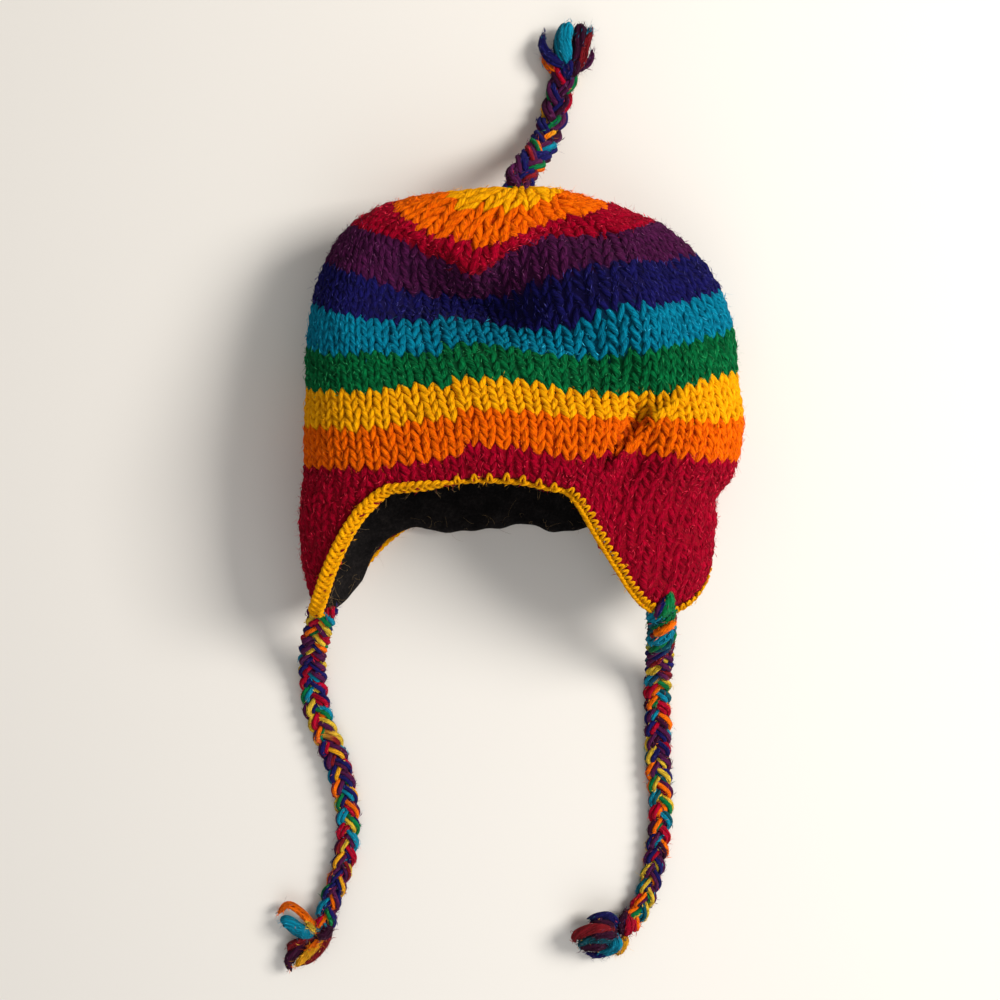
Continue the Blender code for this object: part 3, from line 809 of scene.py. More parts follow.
def columns_of(row):
    """Number of stitches in a row: the same up to the crown, then one fewer in each sector whenever
    the fabric has become narrow enough."""
    middle = (row + 1.0) / ROWS_A_STRIPE
    width = STITCH_WIDTH * (1 + CROWN_STRETCH * crown_share(middle))
    fitting = SECTORS * round(girth_at(middle) / width / SECTORS)
    return int(np.clip(fitting, SECTORS, COLUMNS)) if middle > DECREASES_FROM else COLUMNS


def leaned(around, up):
    """Length round the rim once the columns lean: it drifts with the height below the middle level.
    In the crown the columns of the upper and lower side spread, with the sine of twice the turn, and
    so stay more upright, and those of the two sides gather."""
    lean = weights(LEAN_STATIONS, wrapped(around)) @ LEAN
    lowest, level, highest = LEAN_LEVELS
    upright = CROWN_SPREAD * GIRTH / (4 * np.pi) * np.sin(4 * np.pi * around / GIRTH)
    crown = np.clip((up - CROWN_START) / (APEX - CROWN_START), 0, 1)
    return around + lean * (level - np.clip(up, lowest, highest)) * STRIPE + upright * crown


def loops_of_row(row, columns, yarn, dice):
    """The yarn of one row. With t the turn of the loop curve, one turn a stitch: along the row it
    runs at a steady pace plus a swing with the sine of 2t, it rises and falls with minus the cosine
    of t, and goes behind and in front with the cosine of 2t, so that heads and feet lie behind and
    the two legs in front make a V. The yarn swells in the legs. The row climbs by its own height in
    one round."""
    stitch = np.arange(columns * STITCH_POINTS + 1) / STITCH_POINTS
    knots = np.arange(2 * columns + 1) / 2
    drift, rise, swell, push = (np.interp(stitch, knots, dice.normal(size=len(knots))) for _ in range(4))
    t = 2 * np.pi * stitch
    width = GIRTH / columns
    middle = (row + 0.5 + stitch / columns) / ROWS_A_STRIPE
    large = crown_share(middle)
    ragged = 1 + FELTED_STRAY * FELTED[yarn]
    half_height = LOOP_HALF_HEIGHT * (1 + CROWN_LOOP_SWELL * large)
    up = middle - (half_height * np.cos(t) - LOOP_RISE * ragged * rise) / STRIPE
    around = leaned(JOG - width * (stitch + LOOP_SPREAD * np.sin(2 * t)) + LOOP_DRIFT * ragged * drift, up)
    thick = (YARN_RADIUS + FELTED_SWELL * FELTED[yarn]) * (1 + CROWN_YARN_SWELL * large)
    radius = thick * (1 + LOOP_UNEVENNESS * ragged * swell - LEG_SWELL * np.cos(2 * t))
    depth = YARN_RADIUS + LOOP_DEPTH * (1 + np.cos(2 * t)) + LOOP_PUSH * push
    points, normal = under_face(around, np.minimum(up, APEX - POINT_CLEARANCE), depth)
    lift_off_floor(points, radius)
    above = middle - rim_height(leaned(JOG - width * stitch, middle)) > EDGE_CLEAR
    return points, normal, radius, above


def runs(mask):
    """Start and end of each unbroken run of True values."""
    change = np.flatnonzero(np.diff(np.concatenate([[0], mask.astype(int), [0]])))
    return zip(change[::2], change[1::2])


def knit_stripe(name, yarn, rows, materials, dice):
    """The stitches of one stripe, row by row, and the fuzz on their outer side."""
    tubes, facing = [], []
    for row in rows:
        points, normal, radius, above = loops_of_row(row, columns_of(row), yarn, dice)
        for start, end in runs(above):
            if end - start > STITCH_POINTS:
                tubes.append(tube(points[start:end], normal[start:end], radius[start:end], YARN_SIDES))
                facing.append(-normal[start:end])
    join_tubes(name, tubes, materials[yarn])
    tint = np.array(YARNS[yarn][1])
    rate = FUZZ_RATE * (SMOOTH_FUZZ + (1 - SMOOTH_FUZZ) * FELTED[yarn])
    fuzz("fuzz_" + name, tubes, [tint] * len(tubes), facing, rate, materials["fibre"],
         dice)


def folded_shell(name, rim, top, outer_depth, inner_depth, columns, rows, material, slot, colour=None):
    """A bag whose wall is one surface: it runs from the crown down the outer face, round the rim and
    up the inner face, closed at both crown points. Its rows lie closer together towards the rim."""
    around = (np.arange(columns) - columns / 2) * GIRTH / columns
    share = np.concatenate([np.linspace(1, 0, rows), np.linspace(0, 1, rows)]) ** SHELL_ROWS_POWER
    low = rim(around)[None, :]
    up = low + (top - low) * share[:, None]
    place = np.broadcast_to(around, up.shape)
    outer, inner = outer_depth(place[:rows], up[:rows]), inner_depth(place[rows:], up[rows:])
    points, _ = under_face(place, up, np.concatenate([outer, inner]))
    count = 2 * rows * columns
    index = np.arange(count).reshape(2 * rows, columns)
    beside = np.roll(index, -1, axis=1)
    quads = np.stack([index[:-1], index[1:], beside[1:], beside[:-1]], -1).reshape(-1, 4)
    point, through = fabric(0.0, APEX), inward(0.0, APEX - SHELL_POINT_STEP)
    poles = np.stack([point + through * depth for depth in (outer[0, 0], inner[-1, 0])])
    first = np.stack([np.full(columns, count), index[0], beside[0]], -1)
    last = np.stack([np.full(columns, count + 1), beside[-1], index[-1]], -1)
    paint = None
    if colour is not None:
        paint = np.concatenate([colour(place, up).reshape(-1, 3), colour(np.zeros(2), np.full(2, APEX))])
    return put_mesh(name, np.concatenate([points.reshape(-1, 3), poles]),
                    [quads, np.concatenate([first, last])], material, colours=paint)


def stripe_at(around, up):
    """Number of the knitted stripe at a place."""
    turn = (JOG - around) % GIRTH / GIRTH
    stripe = np.floor(up - turn / ROWS_A_STRIPE + GROUND_SHIFT).astype(int)
    return np.clip(stripe, 0, len(STRIPE_YARNS) - 1)


def ground_colour_with_painted_shade(around, up):
    """Colour between the stitches, partly the felted wool's own colour and partly painted shade: the
    yarn's shaded colour, darkened where the yarn is smooth, less so where it is felted.
    """
    # Painted shade: each stripe's shaded colour times a factor that is low under smooth yarn, darkening its
    # gaps
    palette = np.array([np.array(YARNS[yarn][0]) * spread(GROUND_SHADE_TONE, FELTED[yarn])
                        for yarn in STRIPE_YARNS])
    return palette[stripe_at(around, up)]


def ground_depth(around, up):
    """Depth of the ground between the stitches: felted yarns fill more of the gaps. Under the crease
    it sinks by a share of the groove's depth, as a wider bell."""
    depths = np.array([GROUND_DEPTH - GROUND_FELTING * FELTED[yarn] for yarn in STRIPE_YARNS])
    place, groove = np.moveaxis(weights(CREASE[:, 0], up) @ CREASE[:, 1:3], -1, 0)
    share, half_width = CREASE_GROUND
    bell = np.exp(-(((around - place) / half_width) ** 2))
    return depths[stripe_at(around, up)] + share * groove * bell


def knit(materials, dice):
    """The whole knitted fabric: a piece of stitches for each stripe, and the felted ground that shows
    between them, darkened with painted shade."""
    for number, yarn in enumerate(STRIPE_YARNS):
        first = number * ROWS_A_STRIPE if number else FIRST_ROW
        last = min((number + 1) * ROWS_A_STRIPE, LAST_ROW)
        knit_stripe(f"stripe_{number:02d}_{yarn}", yarn, range(first, last), materials, dice)
    over_rim, under_point = GROUND_STOPS
    ground = folded_shell(
        "wool_between_the_stitches", lambda around: rim_height(around) + over_rim, APEX - under_point,
        ground_depth, lambda around, up: np.maximum(GROUND_DEPTH, ground_depth(around, up)) + GROUND_WALL,
        *GROUND_GRID, materials["ground"], "striped_wool", ground_colour_with_painted_shade)
    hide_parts("knit_body")


# The lining

# Its columns and rows, how far it stops from the crown's point, and its clearance from the knit
LINING_GRID = (192, 44)
LINING_POINT_STOP = 0.35
LINING_CLEARANCE = 0.1

# Waves of its ragged rim: a height in stripes, a frequency and a start. They show most along the lower
# gap, and by this share elsewhere
RIM_WAVES = ((0.02, 0.17, 0.0), (0.018, 0.41, 1.0))
RIM_RAGGEDNESS = 0.3

# The swell of its surface, one wave times another: the height, then the frequencies of the first and
# the second wave round the hat and up it
SWELL = 0.25
SWELL_AROUND = (0.19, 0.06)
SWELL_UP = (3.1, 7.3)

# Its fibres. A share of them lies on the stretch of the rim that faces the camera, where the long ones
# start past the rim by a part of a stripe. All others start at least a part of a stripe over it, and
# gather towards it by a power. How deep they are rooted, how much they lean outwards and lift
FACING_HAIRS = (-122.0, 30.0)
FACING_SHARE = 0.55
HAIRS_PAST_RIM = 0.22
HAIRS_OVER_RIM = 0.03
HAIR_GATHERING = 1.6
HAIR_ROOT = 0.1
HAIR_LEAN = 0.3
HAIR_LIFT = 0.3

# Columns: name, count, reach over the rim in stripes, colour, length, curl, thickness, rings
LINING_FIBRES = (
    ("nap_of_the_fleece", 3600, 2.0, (0.024, 0.0205, 0.020), 2.4, 0.6, 0.10, 1),
    ("hairs_along_the_edge", 330, 0.25, (0.34, 0.23, 0.11), 9.0, 3.2, 0.045, 6),
)


def lining(materials, dice):
    """The fleece: it follows the inside of the knit, laps over the edging along the lower gap, and its
    surface swells a little everywhere, as a felted cloth does. Dark fibres stand off it, and pale ones
    from the yellow yarn cling to it along the edge."""
    def rim(around):
        ragged = sum(height * np.sin(around * often + phase) for height, often, phase in RIM_WAVES)
        lap = np.interp(wrapped(around - LAP_PLACE), LAP_STATIONS, LAP)
        return rim_height(around) + LINING_STOP - lap + ragged * (RIM_RAGGEDNESS + lower_gap(around))

    def lift(around, up):
        near_edge = np.clip(1 - (up - rim_height(around)) / LAP_HEIGHT, 0, 1)
        return LAP_LIFT * lower_edge(around) * near_edge

    def ripple(around, up):
        broad, slant = SWELL_AROUND
        wavy, often = SWELL_UP
        return SWELL * np.sin(around * broad + 2 * np.sin(up * wavy)) * np.sin(up * often + around * slant)

    def outer(around, up):
        return WALL + LINING_GAP + lift(around, up) + LINING_CLEARANCE

    def inner(around, up):
        return WALL + LINING_GAP + LINING + lift(around, up) + ripple(around, up)

    piece = folded_shell("fleece_inside", rim, APEX - LINING_POINT_STOP, outer, inner, *LINING_GRID,
                         materials["fleece"], "black_fleece")
    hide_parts("fleece_lining")

    for name, count, reach, shade, length, curl, thickness, rings in LINING_FIBRES:
        facing = dice.random(count) < FACING_SHARE
        anywhere = (-GIRTH / 2, GIRTH / 2)
        around = np.where(facing, dice.uniform(*FACING_HAIRS, count), dice.uniform(*anywhere, count))
        up = rim(around) + HAIRS_OVER_RIM + reach * dice.random(count) ** HAIR_GATHERING
        up -= HAIRS_PAST_RIM * facing * (rings > 1)
        root, out = under_face(around, up, inner(around, up) - HAIR_ROOT)
        past = unit(fabric(around, up - SLOPE_UP) - root)
        along = unit(dice.normal(size=(count, 3)) + HAIR_LEAN * out + facing[:, None] * past)
        tint = np.array(shade) * (0.5 + dice.random(count))[:, None]
        bend = np.stack([curl * dice.normal(size=count), HAIR_LIFT * dice.random(count)], -1)
        fibres(name, root, along, out, length * (0.5 + dice.random(count)), bend, np.full(count, thickness),
               tint, materials["fibre"], rings)


# The crocheted edge

# Steps in which the edge is measured, and stations along it
EDGE_TABLE = 2401
EDGE_SAMPLES = 1000

# The broad edge on the facing side of the left flap, and the firm edge of the right flap: the places
# round the rim between which it runs, and the spans in which it grows and fades. The facing edge is
# rolled outwards
FACING_EDGE = ((-128.0, -26.0), (6, 22))
FIRM_EDGE = ((-20, 200), (15, 30))
EDGE_ROLL = np.radians(52.0)

# The edge grows broad as the rim falls by so much, in stripes, from the gaps to the flaps
FLAP_RISE = 0.5

# The plait: the length in which a strand swings over and back once. The strands' radius over the
# gaps, and what it gains over the flaps, on the facing edge and on the firm edge
PLAIT_PITCH = 12.6
PLAIT_RADIUS = (0.95, 0.25, 0.30, 0.32)

# Its half width over the gaps, what it gains over the flaps, loses under the lining's lap and gains on
# the facing edge
PLAIT_HALF_WIDTH = (1.9, 0.7, 0.5, 1.2)

# How much deeper than the wall's middle it runs where no lap covers it, and how much less deep on the
# facing edge; how far that edge is set back; its clearance from the knit, and its swing in and out
PLAIT_MIDDLE = (0.3, 1.4)
PLAIT_INSET = 1.2
PLAIT_SWING = (0.25, 0.45)

# The small loops: how far apart they stand, and points along each; how far over the knit they reach
# and how far they lean, each a mean and a spread; how far past the edge their feet lie; thickness and
# half width; height over the face at the feet, and what it gains in the middle
SPIKE_PITCH = 4.15
SPIKE_POINTS = 7
SPIKE_REACH = (2.5, 0.3)
SPIKE_LEAN = (0.3, 0.4)
SPIKE_FOOT = 0.9
SPIKE_RADIUS = 0.82
SPIKE_HALF_WIDTH = 1.4
SPIKE_RAISED = (0.25, 0.5)

# Over the gaps they reach further by so much and have their own thickness, and every second one is
# left out. Where the facing edge has grown by this share, there are none
GAP_SPIKE_REACH = 0.6
GAP_SPIKE_RADIUS = 0.80
SPIKES_END_AT = 0.4
EDGE_FUZZ = 0.2

# Red flecks between the strands, where the facing edge has grown by this share: one to so many loops;
# radius, and how much of it the ends lose; the shares of the half width between which they lie; height
# over the plait's base, and what it gains with the strands' radius; half length, slant and bulge; how
# far they stay above the table
FLECKS_START_AT = 0.3
FLECK_STEP = 3
FLECK_RADIUS = 0.62
FLECK_TAPER = 0.8
FLECK_SIDES = (0.1, 0.95)
FLECK_HEIGHT = (0.15, 1.75)
FLECK_HALF_LENGTH = 1.6
FLECK_SLANT = 0.9
FLECK_BULGE = 0.15
FLECK_CLEARANCE = 0.75

# Red wool that shows behind the edge. Columns: place round the rim, how far out and how far in
RED_TUFTS = ((-19, 0.8, 3.5), (-15.5, 1.6, 4.2), (-13, 0.9, 3.2), (-17, 2.3, 4.8), (-12, 1.8, 4.6),
             (17.5, 1.0, 3.6), (-203, 0.6, 5.6), (-194, 0.6, 5.6))

# Their half length, and how much deeper they lie at one end
TUFT_HALF_LENGTH = 2.2
TUFT_SLANT = 0.4


def zone(around, edge):
    """1 along a stretch of the rim, rising and falling evenly at its ends."""
    (start, end), (rise, fall) = edge
    return np.clip((around - start) / rise, 0, 1) * np.clip((end - around) / fall, 0, 1)


def edge_frame(samples):
    """The knitted edge at even steps of length: points of the outer face there, and the directions
    ahead along it, into the hat, and outwards past the edge."""
    around = np.linspace(-GIRTH / 2, GIRTH / 2, EDGE_TABLE)
    places = fabric(around, rim_height(around))
    length = np.concatenate([[0], np.cumsum(np.linalg.norm(np.diff(places, axis=0), axis=1))])
    around = np.interp(np.arange(samples) / samples * length[-1], length, around)
    here = fabric(around, rim_height(around))
    into = inward(around, rim_height(around))
    ahead = unit(np.roll(here, -1, axis=0) - np.roll(here, 1, axis=0))
    out = unit(np.cross(into, ahead))
    return around, here, ahead, into, out, length[-1]


def crochet(materials, dice):
    """The crocheted edge: a plait of three strands carried along the edge, each swinging across the
    edge's thickness with the sine of the turn and in and out with the sine of twice the turn, broad
    round the earflaps and narrow over the gaps; and over the face of the knit a row of small rounded
    loops, whose height falls off with the square of the way from the middle to both feet. Red flecks
    show between the strands, and red tufts behind the edge."""
    around, here, ahead, into, out, total = edge_frame(EDGE_SAMPLES)
    share = np.arange(EDGE_SAMPLES + 1) / EDGE_SAMPLES
    closing = np.arange(EDGE_SAMPLES + 1) % EDGE_SAMPLES
    turn = 2 * np.pi * share * round(total / PLAIT_PITCH)
    broad = np.clip((RIM_RISE - rim_height(around)) / FLAP_RISE, 0, 1)[closing]
    lapped = lower_edge(around)[closing]
    wide, firm = zone(around, FACING_EDGE)[closing], zone(around, FIRM_EDGE)[closing]
    plain, on_flaps, on_facing, on_firm = PLAIT_RADIUS
    strand_radius = plain + on_flaps * broad + on_facing * wide + on_firm * firm
    plain, on_flaps, under_lap, on_facing = PLAIT_HALF_WIDTH
    half_width = plain + on_flaps * broad * (1 - wide) - under_lap * lapped + on_facing * wide
    unlapped, on_facing = PLAIT_MIDDLE
    middle = WALL / 2 + unlapped * (1 - lapped) - on_facing * wide
    roll = (EDGE_ROLL * wide)[:, None]
    across = into[closing] * np.cos(roll) + out[closing] * np.sin(roll)
    outside = out[closing] * np.cos(roll) - into[closing] * np.sin(roll)
    base = here[closing] + into[closing] * middle[:, None] - out[closing] * (PLAIT_INSET * wide)[:, None]
    raised, swing = PLAIT_SWING
    tubes, facing = [], []
    for strand in range(3):
        phase = turn + 2 * np.pi * strand / 3
        points = (base + across * (half_width * np.sin(phase))[:, None]
                  + outside * (raised + strand_radius + swing * np.sin(2 * phase))[:, None])
        lift_off_floor(points, strand_radius)
        tubes.append(tube(points, outside, strand_radius, YARN_SIDES))
        facing.append(outside)
    spikes = int(total / SPIKE_PITCH)
    leg = np.linspace(-1, 1, SPIKE_POINTS)
    over_face, more = SPIKE_RAISED
    for number in range(spikes):
        place = int((number + 0.5) / spikes * EDGE_SAMPLES)
        reach, lean, skip = dice.normal(*SPIKE_REACH), dice.normal(*SPIKE_LEAN), number % 2
        over_gap = broad[place] < 0.5
        if wide[place] > SPIKES_END_AT or (over_gap and skip):
            continue
        thick = SPIKE_RADIUS
        if over_gap:
            reach, thick = reach + GAP_SPIKE_REACH, GAP_SPIKE_RADIUS
        height = (reach + SPIKE_FOOT) * (1 - np.abs(leg) ** 2) - SPIKE_FOOT
        aside = SPIKE_HALF_WIDTH * leg + lean * (1 - np.abs(leg))
        points = (here[place] + ahead[place] * aside[:, None] - out[place] * height[:, None]
                  - into[place] * (over_face + more * (1 - leg**2))[:, None])
        lift_off_floor(points, thick)
        tubes.append(tube(points, into[place], thick, YARN_SIDES))
        facing.append(np.broadcast_to(-into[place], points.shape))
    piece = join_tubes("crocheted_edge", tubes, materials["crochet"])
    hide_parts("crochet_edging")
    fuzz("fuzz_crocheted_edge", tubes, [np.array(YARNS["yellow"][1])] * len(tubes), facing, EDGE_FUZZ,
         materials["fibre"], dice)

    flecks = []
    slim = FLECK_RADIUS * (1 - FLECK_TAPER * leg**4)
    for number in range(0, spikes, FLECK_STEP):
        place = int((number + dice.random() * 2) / spikes * EDGE_SAMPLES) % EDGE_SAMPLES
        if wide[place] < FLECKS_START_AT:
            continue
        side = half_width[place] * dice.uniform(*FLECK_SIDES)
        top = spread(FLECK_HEIGHT, strand_radius[place])
        points = (base[place] + ahead[place] * (FLECK_HALF_LENGTH * leg)[:, None]
                  + across[place] * (side + FLECK_SLANT * leg)[:, None]
                  + outside[place] * (top + FLECK_BULGE * (1 - leg**2))[:, None])
        lift_off_floor(points, FLECK_CLEARANCE)
        flecks.append(tube(points, outside[place], slim, YARN_SIDES))
    for where, outwards, inwards in RED_TUFTS:
        place = np.argmin(np.abs(around - where))
        points = (here[place] + ahead[place] * (TUFT_HALF_LENGTH * leg)[:, None] + out[place] * outwards
                  + into[place] * (inwards + TUFT_SLANT * leg)[:, None])
        flecks.append(tube(points, out[place], slim, YARN_SIDES))
    join_tubes("red_flecks_in_the_edge", flecks, materials["red"])


# Braids and tassels

# A braid: how far its strands swing to the sides and up and down, and up and down where they are only
# twisted
STRAND_SWING = (4.6, 1.6)
TWIST_HEIGHT = 3.0

# A strand: the distance of its yarns from its middle, their radius, the length in which they wind
# round it once, and their number
STRAND_RADIUS = 2.15
YARN_IN_STRAND = 1.38
STRAND_WIND = 70.0
STRAND_YARNS = 5

# How far the braid is lowered, the length of its root inside the hat, and the length in which a yarn
# changes colour. Points for each point of its route, its fullness at the start, and the share of its
# length from which it is slimmest. Hairs on braids and tassels
BRAID_LOWERED = 0.95
BRAID_ROOT = 7.0
COLOUR_CHANGE = 5.0
BRAID_POINTS = 13
BRAID_FULLNESS = 1.06
SLIM_FROM = 0.85
BRAID_FUZZ = 1.2

# How loosely a strand is worked. Columns: a wave's depth, the length of its one radian, and by how much
# it starts later in each strand
LOOSENESS = ((0.07, 9.0, 2), (0.05, 3.7, 1))

# A lock: its yarns and points along each; the last share of it, in which its yarns end and are rounded
# off; the share of its thickness at the root, and the share of its length in which it swells to the
# whole; a wave's height, its radians along the lock and the spread of its start; the share of the
# thickness that the yarns fill, and their radius as such a share; how far they turn, and the spread of
# that; the square of an end's least thickness; the tones between which the yarns differ; the direction
# that the turn is measured from
LOCK_YARNS = 10
LOCK_POINTS = 18
LOCK_ROUTE_POINTS = 60
LOCK_END = 0.16
LOCK_ROOT = 0.5
LOCK_SWELL = 0.3
LOCK_WAVE = (0.25, 9, 3)
LOCK_FILLED = 0.72
LOCK_YARN = 0.40
LOCK_TURN = (1.2, 0.1)
LOCK_LEAST_END = 0.03
LOCK_TONES = (0.65, 1.1)
LOCK_REFERENCE = (0.1, 0.2, 1.0)

# Locks of the tassels: yarn, thickness, taper, then the points of the route from the braid's end
LEFT_LOCKS = (
    ("orange", 4.8, 0.4, ((-1, 1, 6), (-6.8, 3.3, 7), (-12, 9.4, 8), (-18, 13.7, 7.5), (-22, 13.7, 7),
                          (-25, 10.2, 6), (-26.5, 7.5, 5))),
    ("lemon", 3.4, 0.3, ((-4.5, -0.5, 9), (-7.2, 2.2, 10), (-9.4, 5.2, 9.5))),
    ("cyan", 8.0, 0.0, ((-2, -2, 7), (-8.5, -2.0, 8.5), (-14.5, 0.2, 9), (-19, 3.6, 8.5),
                        (-22.5, 4.4, 7.5), (-25.2, 0.6, 6))),
    ("wine", 5.2, 0.0, ((2, -1, 6), (-6, -4.4, 8), (-13.7, -7.9, 7.5), (-19, -10.9, 6), (-21.3, -14.6, 5))),
    ("plum", 7.0, 0.0, ((0, -3, 5), (-8.5, -8.2, 6), (-15.4, -13.4, 6.5), (-20.0, -19.0, 6),
                        (-19.0, -27.5, 5))),
    ("amber", 5.6, 0.3, ((0, -5.0, 9), (-6.8, -12, 10), (-12, -17.6, 9), (-17.0, -23.0, 7))),
    ("orange", 3.6, 0.3, ((-1.0, -5.0, 9.5), (-6.2, -9.6, 10.5), (-10.5, -13.6, 9.5))),
    ("wine", 5.2, 0.2, ((3.5, -1.5, 5), (2.0, -5.5, 6), (-0.9, -11.6, 6), (-6.5, -18.4, 5.5),
                        (-14.5, -24.0, 5))),
    ("plum", 5.5, 0.2, ((5.0, -0.5, 7), (0.5, -3.2, 10), (-5.5, -3.4, 9))),
    ("plum", 7.0, 0.2, ((2, 3, 6), (1, -3, 6), (-5, -6, 5))),
)
RIGHT_LOCKS = (
    ("plum", 6.0, 0.0, ((-2.0, 9.0, 8), (-4.6, 2.6, 10), (-4.0, -3.3, 9))),
    ("red", 6.0, 0.1, ((-0.5, 7.5, 8), (-0.6, 0.7, 11), (-2.5, -5.3, 8))),
    ("plum", 15.0, 0.1, ((-6, -5.8, 8), (-12, -5.8, 9), (-20, -6.8, 9), (-26, -8.8, 8))),
    ("navy", 5.2, 0.1, ((-7.4, -1.3, 9), (-8.5, 4.7, 11), (-13, 8.4, 12), (-20, 7.2, 11), (-26, 3.0, 9))),
    ("plum", 4.2, 0.2, ((-8.8, -0.8, 12), (-12.0, 4.0, 14.5), (-17.5, 5.6, 15), (-22.8, 3.8, 13))),
    ("wine", 7.0, 0.1, ((-9.5, 1.2, 14), (-16.5, 2.6, 17), (-22.6, 2.0, 16.5), (-28.0, -0.8, 14),
                        (-31.0, -4.6, 10), (-31.5, -7.6, 7))),
    ("plum", 5.6, 0.1, ((-8.5, -2.4, 15), (-13, -1.0, 17), (-19, -0.8, 17.5), (-23, -1.6, 16.5))),
    ("teal", 5.2, 0.1, ((-9.5, -4.8, 16), (-16.5, -3.2, 17.5), (-22.6, -3.6, 16.5), (-27.4, -6.4, 14),
                        (-30.0, -10.0, 10))),
    ("cyan", 6.8, 0.2, ((-8.0, -2.8, 14.5), (-8.2, -7.4, 16), (-11.8, -11.8, 13.5), (-18.0, -13.8, 10))),
    ("plum", 6.4, 0.1, ((-14.5, -7.8, 14.5), (-20.0, -8.6, 14.5), (-25.0, -9.6, 12.5), (-28.0, -11.6, 10))),
    ("navy", 4.2, 0.5, ((-8.5, -13.4, 6), (-14.0, -16.4, 6), (-20.0, -18.0, 5.5), (-25.5, -16.2, 4.5))),
    ("amber", 5.6, 0.2, ((-3.2, -4.2, 7), (-3.0, -9.4, 7.5), (-5.0, -14.4, 6.5), (-8.0, -18.4, 5))),
)
TOP_LOCKS = (
    ("cyan", 9.6, 0.1, ((0.5, 0.5, 8), (-1.2, 7.5, 9.5), (-1.6, 14, 10), (0.4, 20, 9), (3.0, 24.4, 7))),
    ("teal", 5.0, 0.2, ((-2.0, 2.5, 6.5), (-4.4, 8.5, 7), (-4.2, 15, 7), (-1.6, 21, 6))),
    ("plum", 7.4, 0.0, ((2, -2, 7), (6.0, 6.5, 8.5), (7.2, 14, 8.5), (8.0, 20, 8), (8.0, 24.0, 6.5))),
    ("wine", 5.8, 0.6, ((4, -3, 7), (8.4, 2.8, 9), (9.9, 9.0, 9.5), (12, 14.5, 8.5), (14.6, 20.5, 7))),
    ("cyan", 4.0, 0.3, ((9, 10.5, 6), (11.4, 15.5, 6.5), (13.0, 19.5, 6), (13.8, 22.5, 5))),
    ("purple", 4.4, 0.6, ((3, -4, 6), (8.0, -0.3, 7), (12.2, 2.1, 7), (14.4, 6.4, 6.5), (14.6, 10.5, 6))),
    ("navy", 6.4, 0.75, ((2, 0, 9), (-4, 2.1, 9.5), (-9.4, 5.6, 9), (-12.4, 10.5, 8), (-13.0, 15, 7),
                         (-12.2, 19.5, 6))),
    ("orange", 5.6, 0.3, ((-2.5, -5, 6), (-7.4, -0.6, 6.5), (-10.8, 3.6, 6.5), (-13.0, 8.0, 6))),
    ("navy", 8.0, 0.1, ((-0.5, -6, 7), (1.0, -1, 8), (1.5, 3.5, 7.5))),
    ("plum", 6.0, 0.1, ((2.5, -5, 8), (5.0, -1, 9), (7.0, 3.5, 8.5))),
)

# The braids: name, route, tassel, the palettes of the three strands with the place where each starts,
# the first and last pitch, how much slimmer the end is, and how far the strands are only twisted
BRAIDS = (
    ("left_tie", LEFT_TIE, LEFT_LOCKS,
     ((0, (("purple", "lemon", "navy", "red", "purple"), ("green", "cyan", "purple", "navy", "orange"),
           ("red", "navy", "purple", "lemon", "red"))),
      (88, (("red", "red", "orange", "purple", "navy"), ("cyan", "cyan", "navy", "amber", "purple"),
            ("green", "navy", "purple", "wine", "lemon")))),
     (23.0, 31.0), 0.22, 0.1),
    ("right_tie", RIGHT_TIE, RIGHT_LOCKS,
     ((0, (("cyan", "cyan", "teal", "cyan", "cyan"), ("teal", "wine", "purple", "teal", "wine"),
           ("green", "green", "green", "teal", "green"))),
      (31, (("purple", "teal", "purple", "wine", "purple"), ("navy", "navy", "purple", "navy", "teal"),
            ("lemon", "lemon", "purple", "lemon", "navy"))),
      (58, (("red", "red", "orange", "purple", "navy"), ("cyan", "teal", "lemon", "navy", "purple"),
            ("green", "lemon", "purple", "plum", "orange")))),
     (22.0, 31.0), 0.22, 26.0),
    ("top", TOP_BRAID, TOP_LOCKS,
     ((0, (("navy", "purple", "plum", "navy", "navy"), ("purple", "plum", "orange", "green", "purple"),
           ("navy", "cyan", "purple", "wine", "navy"))),
      (50, (("navy", "purple", "green", "navy", "wine"), ("purple", "plum", "amber", "green", "purple"),
            ("navy", "navy", "purple", "red", "plum")))),
     (30.0, 34.0), 0.03, 0.1),
)

# The loop that fastens the right tie. Columns: colour, distance from its middle, radius
ANCHOR_YARNS = (
    ("purple", -4.6, 1.7), ("navy", -2.9, 2.0), ("green", -0.3, 2.7), ("green", 1.9, 2.4), ("navy", 4.4, 1.4))

# How far it reaches down and up from the flap's tip; its middle's place from the flap's middle, and how
# far its foot lies to the side; its clearance from the knit, and how deep its top dips in. How much
# lower the outer yarns end: a factor and a power of their distance
ANCHOR_REACH = (-2.5, 13.2)
ANCHOR_PLACE = -3.0
ANCHOR_SLANT = 3.0
ANCHOR_CLEARANCE = 0.6
ANCHOR_DIP = 5.0
ANCHOR_ROUNDING = (0.35, 1.5)

# The share of its width and of its yarns' radius at both ends, what the bulge adds, and the bulge's
# power
ANCHOR_WIDTH = (0.25, 0.75, 0.8)
ANCHOR_SWELL = (0.45, 0.55, 0.5)

# How far under the tip it leaves the knit, in stripes, and by what it falls from there
ANCHOR_TIP = 0.25
ANCHOR_FALL = (0, 0.75, 0.65)
ANCHOR_POINTS = 24
ANCHOR_FUZZ = 1.5

# The orange yarn across the tie: its route, points and radius
CROSSING = ((71.8, -128.6, 48.5), (74.8, -126.6, 52.3), (78.4, -123.8, 52.8), (81.2, -121.6, 50.0))
CROSSING_POINTS = 20
CROSSING_RADIUS = 2.2


def smooth_route(route, count):
    """Points spread along the smooth curve through a route's own points."""
    knots = np.array(route)
    place = np.linspace(0, len(knots) - 1, count)
    return weights(np.arange(len(knots), dtype=float), place) @ knots


